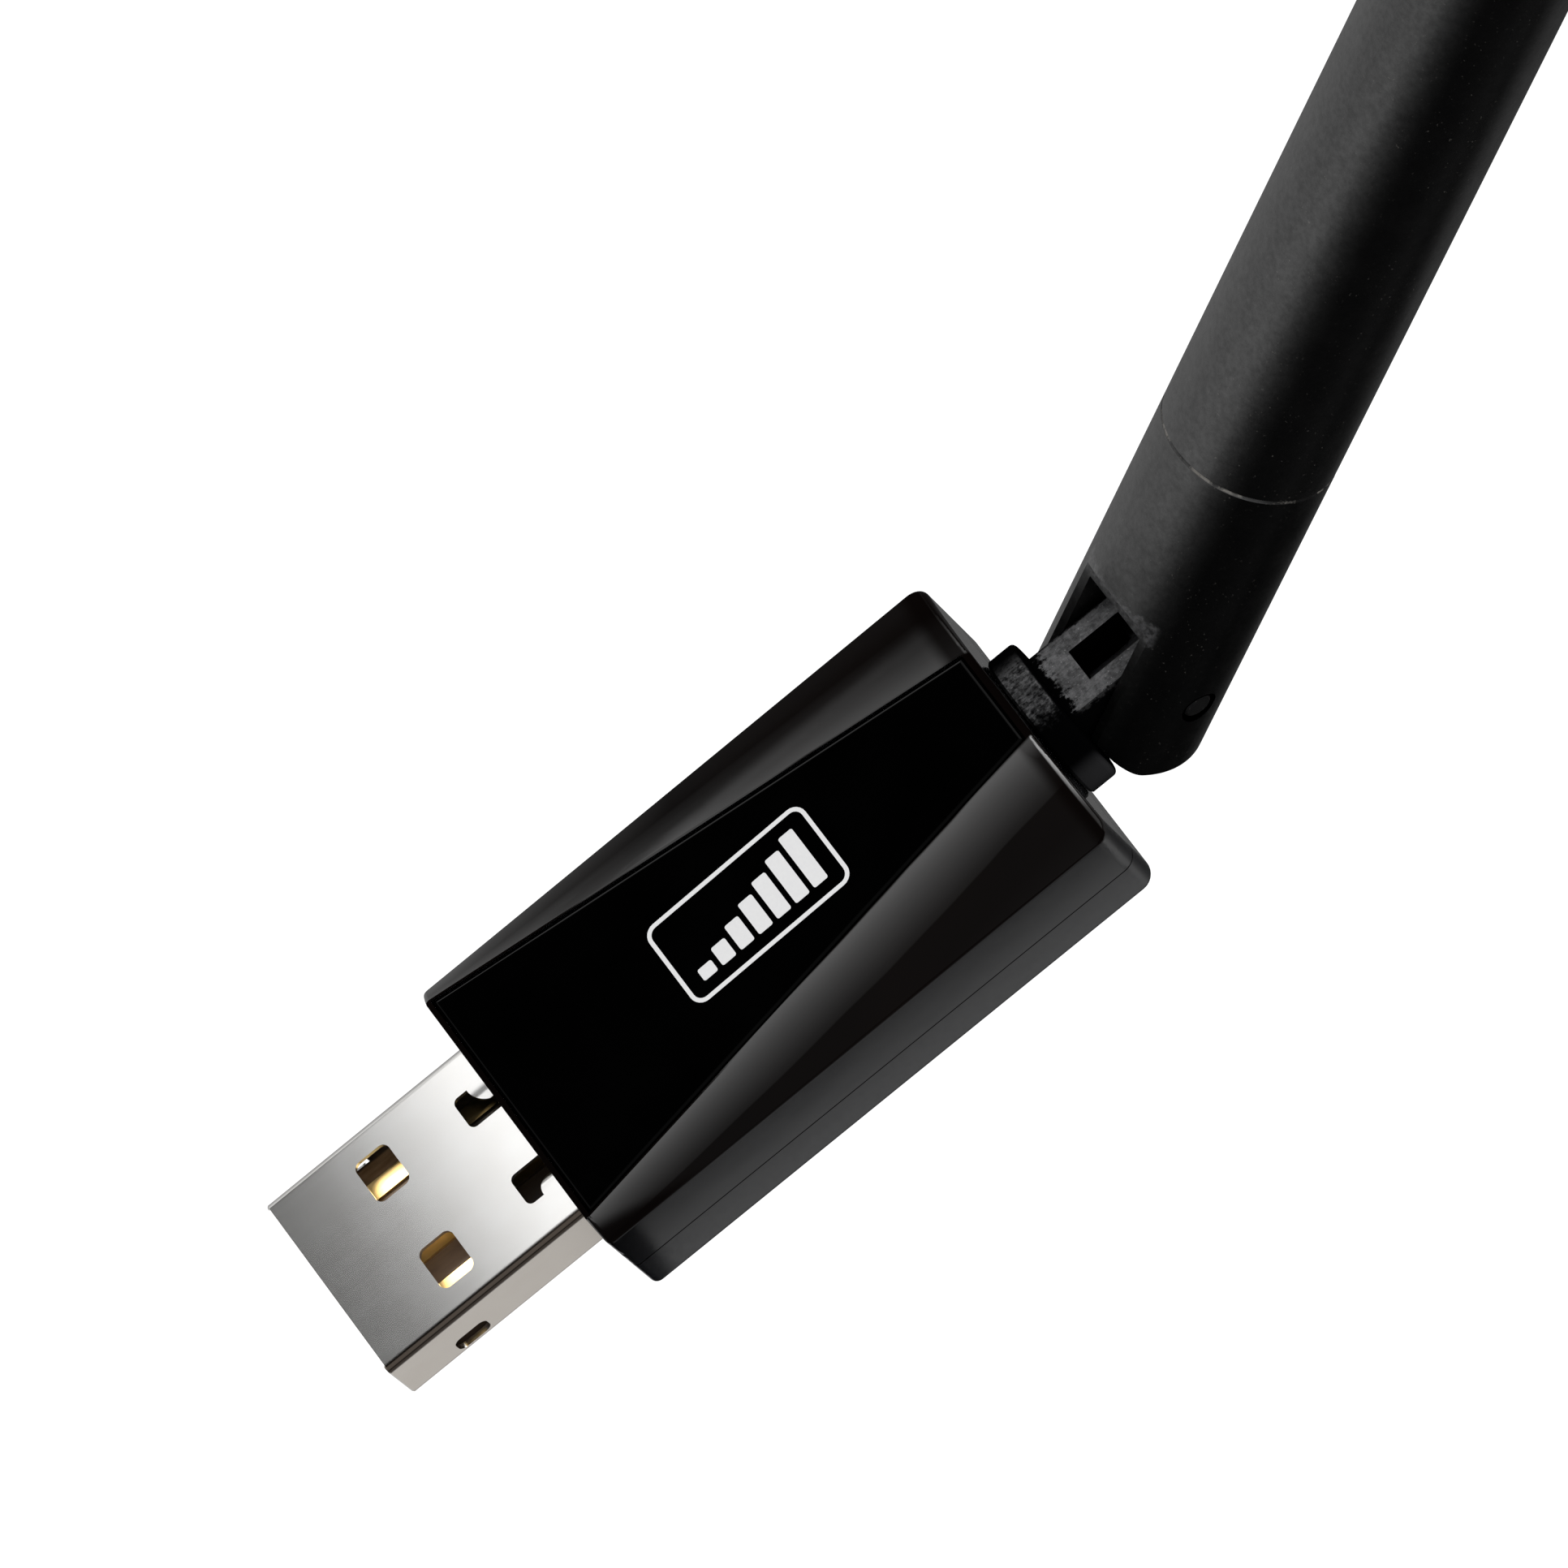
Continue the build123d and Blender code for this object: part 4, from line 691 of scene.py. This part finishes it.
def printed(name, loops, matrix, material):
    """Thin piece on the inlay from closed loops; inner loops are holes."""
    curve = bpy.data.curves.new(name + "_c", "CURVE")
    curve.dimensions = "2D"
    curve.fill_mode = "BOTH"
    curve.extrude = INK_THICKNESS / 2 * MM
    for loop in loops:
        spline = curve.splines.new("POLY")
        spline.points.add(len(loop) - 1)
        for point, (x, y) in zip(spline.points, loop):
            point.co = (x * MM, y * MM, 0, 1)
        spline.use_cyclic_u = True
    source = link_object(name + "_tmp", curve)
    bpy.context.view_layer.update()
    depsgraph = bpy.context.evaluated_depsgraph_get()
    mesh = bpy.data.meshes.new_from_object(source.evaluated_get(depsgraph))
    bpy.data.objects.remove(source)
    mesh.name = name
    mesh.transform(matrix)
    piece = link_object(name, mesh)
    mesh.materials.append(material)
    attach(piece, "housing")


def badge():
    material = ink("badge_ink")
    matrix = inlay_matrix()
    half_x, half_y = BADGE_HALF_LENGTH, BADGE_HALF_WIDTH
    inner_x, inner_y = half_x - BADGE_LINE, half_y - BADGE_LINE
    printed("badge_outline", [rounded(-half_x, -half_y, half_x, half_y, BADGE_CORNER),
                              rounded(-inner_x, -inner_y, inner_x, inner_y,
                                      BADGE_INNER_CORNER)], matrix, material)
    for i in range(BAR_COUNT):
        x = BAR_FIRST_X + i * BAR_PITCH
        top = BAR_FOOT + BAR_FIRST_HEIGHT + BAR_RISE * i
        bar = rounded(x, BAR_FOOT, x + BAR_WIDTH, top, BAR_CORNER, steps=4)
        printed("badge_bar_%d" % (i + 1), [bar], matrix, material)


# ---------------------------------------------------------------------------
# the antenna cable where it crosses the fold
# ---------------------------------------------------------------------------
def cable_loop():
    start = Vector((PIVOT.x - CABLE_BEFORE * MM, 0, PIVOT.z))
    end = PIVOT + ROD_AXIS * CABLE_AFTER * MM
    pull_start = start + Vector((1, 0, 0)) * CABLE_PULL_START * MM
    pull_end = end - ROD_AXIS * CABLE_PULL_END * MM
    side = Vector((0, 1, 0))
    bm = bmesh.new()
    rings = []
    for i in range(CABLE_STEPS + 1):
        t = i / CABLE_STEPS
        centre = (start * (1 - t) ** 3 + pull_start * 3 * t * (1 - t) ** 2
                  + pull_end * 3 * t * t * (1 - t) + end * t ** 3)
        heading = ((pull_start - start) * 3 * (1 - t) ** 2
                   + (pull_end - pull_start) * 6 * t * (1 - t)
                   + (end - pull_end) * 3 * t * t).normalized()
        up = side.cross(heading).normalized()
        radius = CABLE_RADIUS * MM * (1 - CABLE_RIB * (i % 2))
        ring = []
        for k in range(CABLE_SIDES):
            angle = 2 * math.pi * k / CABLE_SIDES
            offset = (side * math.cos(angle) + up * math.sin(angle)) * radius
            ring.append(bm.verts.new(centre + offset))
        rings.append(ring)
    for ring, following in zip(rings, rings[1:]):
        for k in range(CABLE_SIDES):
            beside = (k + 1) % CABLE_SIDES
            bm.faces.new((ring[k], ring[beside], following[beside], following[k]))
    bm.faces.new(rings[0])
    bm.faces.new(rings[-1])
    bmesh.ops.recalc_face_normals(bm, faces=bm.faces)
    mesh = bpy.data.meshes.new("coax_fold_loop")
    bm.to_mesh(mesh)
    bm.free()
    for face in mesh.polygons:
        face.use_smooth = len(face.vertices) == 4
    loop = link_object("coax_fold_loop", mesh)
    mesh.materials.append(LOOKS["jacket"])
    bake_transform(loop)


# ---------------------------------------------------------------------------
# table and room
# ---------------------------------------------------------------------------
def table():
    # it lies below the lowest place the rod's tip can reach, so that no pose dips into it
    reach = max((Vector(vertex.co) - PIVOT).length
                for vertex in nodes["antenna_tube"].data.vertices)
    bpy.ops.mesh.primitive_plane_add(size=6.0, location=(0.03, 0, PIVOT.z - reach - 0.001))
    floor = bpy.context.object
    floor.name = "floor"
    mat = Look("floor_paper")
    # most of its white is its own light, so only a faint contact shadow is left
    mat.set(Base_Color=mat.mix(mat.spread(mat.noise(scale=0.02)), 0.34, 0.36), Roughness=0.9,
            Specular_IOR_Level=0.0, Emission_Color=1.0, Emission_Strength=0.74)
    # seen from below the table is clear, so that the underside can be looked at
    from_below = mat.new("ShaderNodeNewGeometry").outputs["Backfacing"]
    clear = mat.new("ShaderNodeBsdfTransparent").outputs["BSDF"]
    mat.put(mat.out.inputs["Surface"],
            mat.mix_shaders(from_below, mat.bsdf.outputs["BSDF"], clear))
    floor.data.materials.append(mat.data)
    floor.visible_glossy = False
    floor.visible_shadow = False


def gloss_room(room):
    """Brightness of the room as gloss sees it, by direction."""
    x, y, z = room.split(room.new("ShaderNodeTexCoord").outputs["Generated"])
    step = room.smooth
    ceiling_light, wall_light, window_light, table_light, dark_light = 1.0, 1.75, 3.2, 0.55, 0.055
    ceiling = room.mul(step(z, over=(0.16, 0.34)), ceiling_light)
    # bright wall on the far side, towards the plug end
    wall = room.mul(step(y, over=(-0.30, -0.08)), step(x, over=(0.25, -0.45)),
                    step(y, over=(0.10, 0.65), to=(1, 0.62)),
                    step(z, over=(-0.75, -0.02), to=(0.28, 1)),
                    step(z, over=(0.40, 0.24)))
    # faint glow low on the near side
    near = room.mul(step(y, over=(0, -0.3)), step(z, over=(-0.5, -0.9), to=(0, 0.10)))
    # a window beyond the antenna end
    window = room.mul(step(x, over=(0.10, 0.34)), step(y, over=(-0.55, -0.05), to=(0.15, 1)),
                      step(z, over=(0.25, 0.5)))
    # the pale table, as gloss sees it from low viewing angles
    beside = room.mul(room.larger(step(y, over=(-0.30, -0.60)),
                                  step(y, over=(0.30, 0.60), to=(0, 0.2))),
                      step(x, over=(-0.40, -0.20)))
    pale = room.mul(room.larger(beside, step(x, over=(0.50, 0.75), to=(0, 0.6))),
                    room.mul(step(z, over=(0.08, -0.10)), step(z, over=(-0.85, -0.60))))
    return room.add(room.mul(wall, wall_light), ceiling, room.add(near, dark_light),
                    room.mul(window, window_light), room.mul(pale, table_light))


def studio():
    world = bpy.data.worlds.new("studio")
    scene.world = world
    world.use_nodes = True
    world.cycles.sampling_method = "NONE"
    room = Graph(world.node_tree)
    output = room.new("ShaderNodeOutputWorld")
    fill = room.new("ShaderNodeBackground", Color=1.0, Strength=1.14)
    gloss = room.new("ShaderNodeBackground", Color=1.0, Strength=gloss_room(room))
    is_gloss = room.new("ShaderNodeLightPath").outputs["Is Glossy Ray"]
    room.put(output.inputs["Surface"],
             room.mix_shaders(is_gloss, fill.outputs[0], gloss.outputs[0]))


# ---------------------------------------------------------------------------
# reflector cards and lamp
# ---------------------------------------------------------------------------
X_AXIS, Y_AXIS = 0, 1
TOWARD_CARD = (-0.064, 0.42, 0.904)         # from the plug to the card over it
CARD_DISTANCE = 60.0
CARD_OFFSET = Vector(TOWARD_CARD) * CARD_DISTANCE
CARD_TILT = (0, TOWARD_CARD[2], -TOWARD_CARD[1])
PLUG_TOP = 2.25


def card(name, centre, upward, half_size, stops, axis, receivers, fade=None):
    """Card seen only in gloss: X by upward, its brightness set along one world axis.
    fade dims it along Y: (over, to)."""
    along, upward, centre = Vector((1, 0, 0)), Vector(upward).normalized(), Vector(centre)
    corners = [centre + along * half_size[0] * i + upward * half_size[1] * j
               for i, j in ((-1, -1), (1, -1), (1, 1), (-1, 1))]
    mesh = bpy.data.meshes.new(name)
    mesh.from_pydata([tuple(corner * MM) for corner in corners], [], [(0, 1, 2, 3)])
    sheet = link_object(name, mesh)
    mat = Look(name + "_glow")
    mat.tree.nodes.remove(mat.bsdf)
    low, high = stops[0][0], stops[-1][0]
    place = mat.remap(mat.position()[axis], over=(low, high))
    colour = mat.ramp(place, [((stop - low) / (high - low), level) for stop, level in stops])
    glow = mat.new("ShaderNodeEmission", Color=colour, Strength=1.0)
    mat.put(mat.out.inputs["Surface"], glow.outputs[0])
    if fade:
        mat.put(glow.inputs["Strength"], mat.smooth(mat.position()[Y_AXIS], *fade))
    mesh.materials.append(mat.data)
    for ray in ("camera", "diffuse", "shadow", "transmission", "volume_scatter"):
        setattr(sheet, "visible_" + ray, False)
    light_only(sheet, name + "_seen_by", receivers)


def cards():
    plug = [nodes["plug_shell"]]
    shells = [nodes["top_shell"], nodes["bottom_shell"]]
    # over the plug: dark at the open end, white towards the housing
    shift = TOWARD_CARD[0] * CARD_DISTANCE
    plug_stops = [(x + shift, level) for x, level in PLUG_CARD]
    fade = ((-22.0, 15.0), (0.06, 1.0))
    card("plug_card", (-14.5, CARD_OFFSET.y, PLUG_TOP + CARD_OFFSET.z), CARD_TILT, (28.5, 45),
         plug_stops, X_AXIS, plug, fade)
    card("plug_card_near", (-17.0, -35.3, 84.6), CARD_TILT, (26, 21.9), plug_stops, X_AXIS,
         plug, fade)
    # low on the near side, for the side walls of plug and housing
    even = (0.50, 0.47, 0.44)
    card("plug_side_card", (-25.8, -34.0, -60.0), (0, 1, 0), (35, 34),
         [(-60, even), (90, even)], X_AXIS, plug)
    card("side_card", (44.3, -37.0, -60.0), (0, 1, 0), (35, 34), SIDE_CARD, Y_AXIS, shells)


def plug_lamp():
    """Small lamp that reaches into the plug, so the contacts read gold through the holes."""
    lamp = bpy.data.lights.new("plug_inner_lamp", "AREA")
    lamp.shape = "RECTANGLE"
    lamp.size, lamp.size_y = 0.016, 0.010
    lamp.energy = 0.010
    lamp.color = (1.0, 0.95, 0.86)
    target = Vector((6.0, 0, 0))
    holder = link_object("plug_inner_lamp", lamp)
    holder.location = (target + CARD_OFFSET * 0.8) * MM
    aim = target * MM - holder.location
    holder.rotation_euler = aim.to_track_quat("-Z", "Y").to_euler()
    light_only(holder, "plug_inner_seen_by",
               [nodes[name] for name in ("plug_insulator", *SHARED["contact"])])


def camera():
    lens_data = bpy.data.cameras.new("camera")
    viewer = link_object("camera", lens_data)
    scene.camera = viewer
    lens_data.sensor_width = 36.0
    lens_data.lens = 377.65043478
    right = Vector((0.7742392827, -0.5508413629, -0.3115562004))
    up = Vector((0.6296182563, 0.7201307551, 0.2914317877))
    back = Vector((0.06383235252, -0.4218247447, 0.9044276176))
    place = Vector((0.09046, -0.35859, 0.78377))    # metres
    viewer.matrix_world = axes_matrix(right, up, back, place)
    lens_data.clip_start, lens_data.clip_end = 0.05, 20.0


badge()
cable_loop()
table()
studio()
cards()
plug_lamp()
camera()

scene.view_settings.view_transform = "Standard"
scene.view_settings.look = "None"
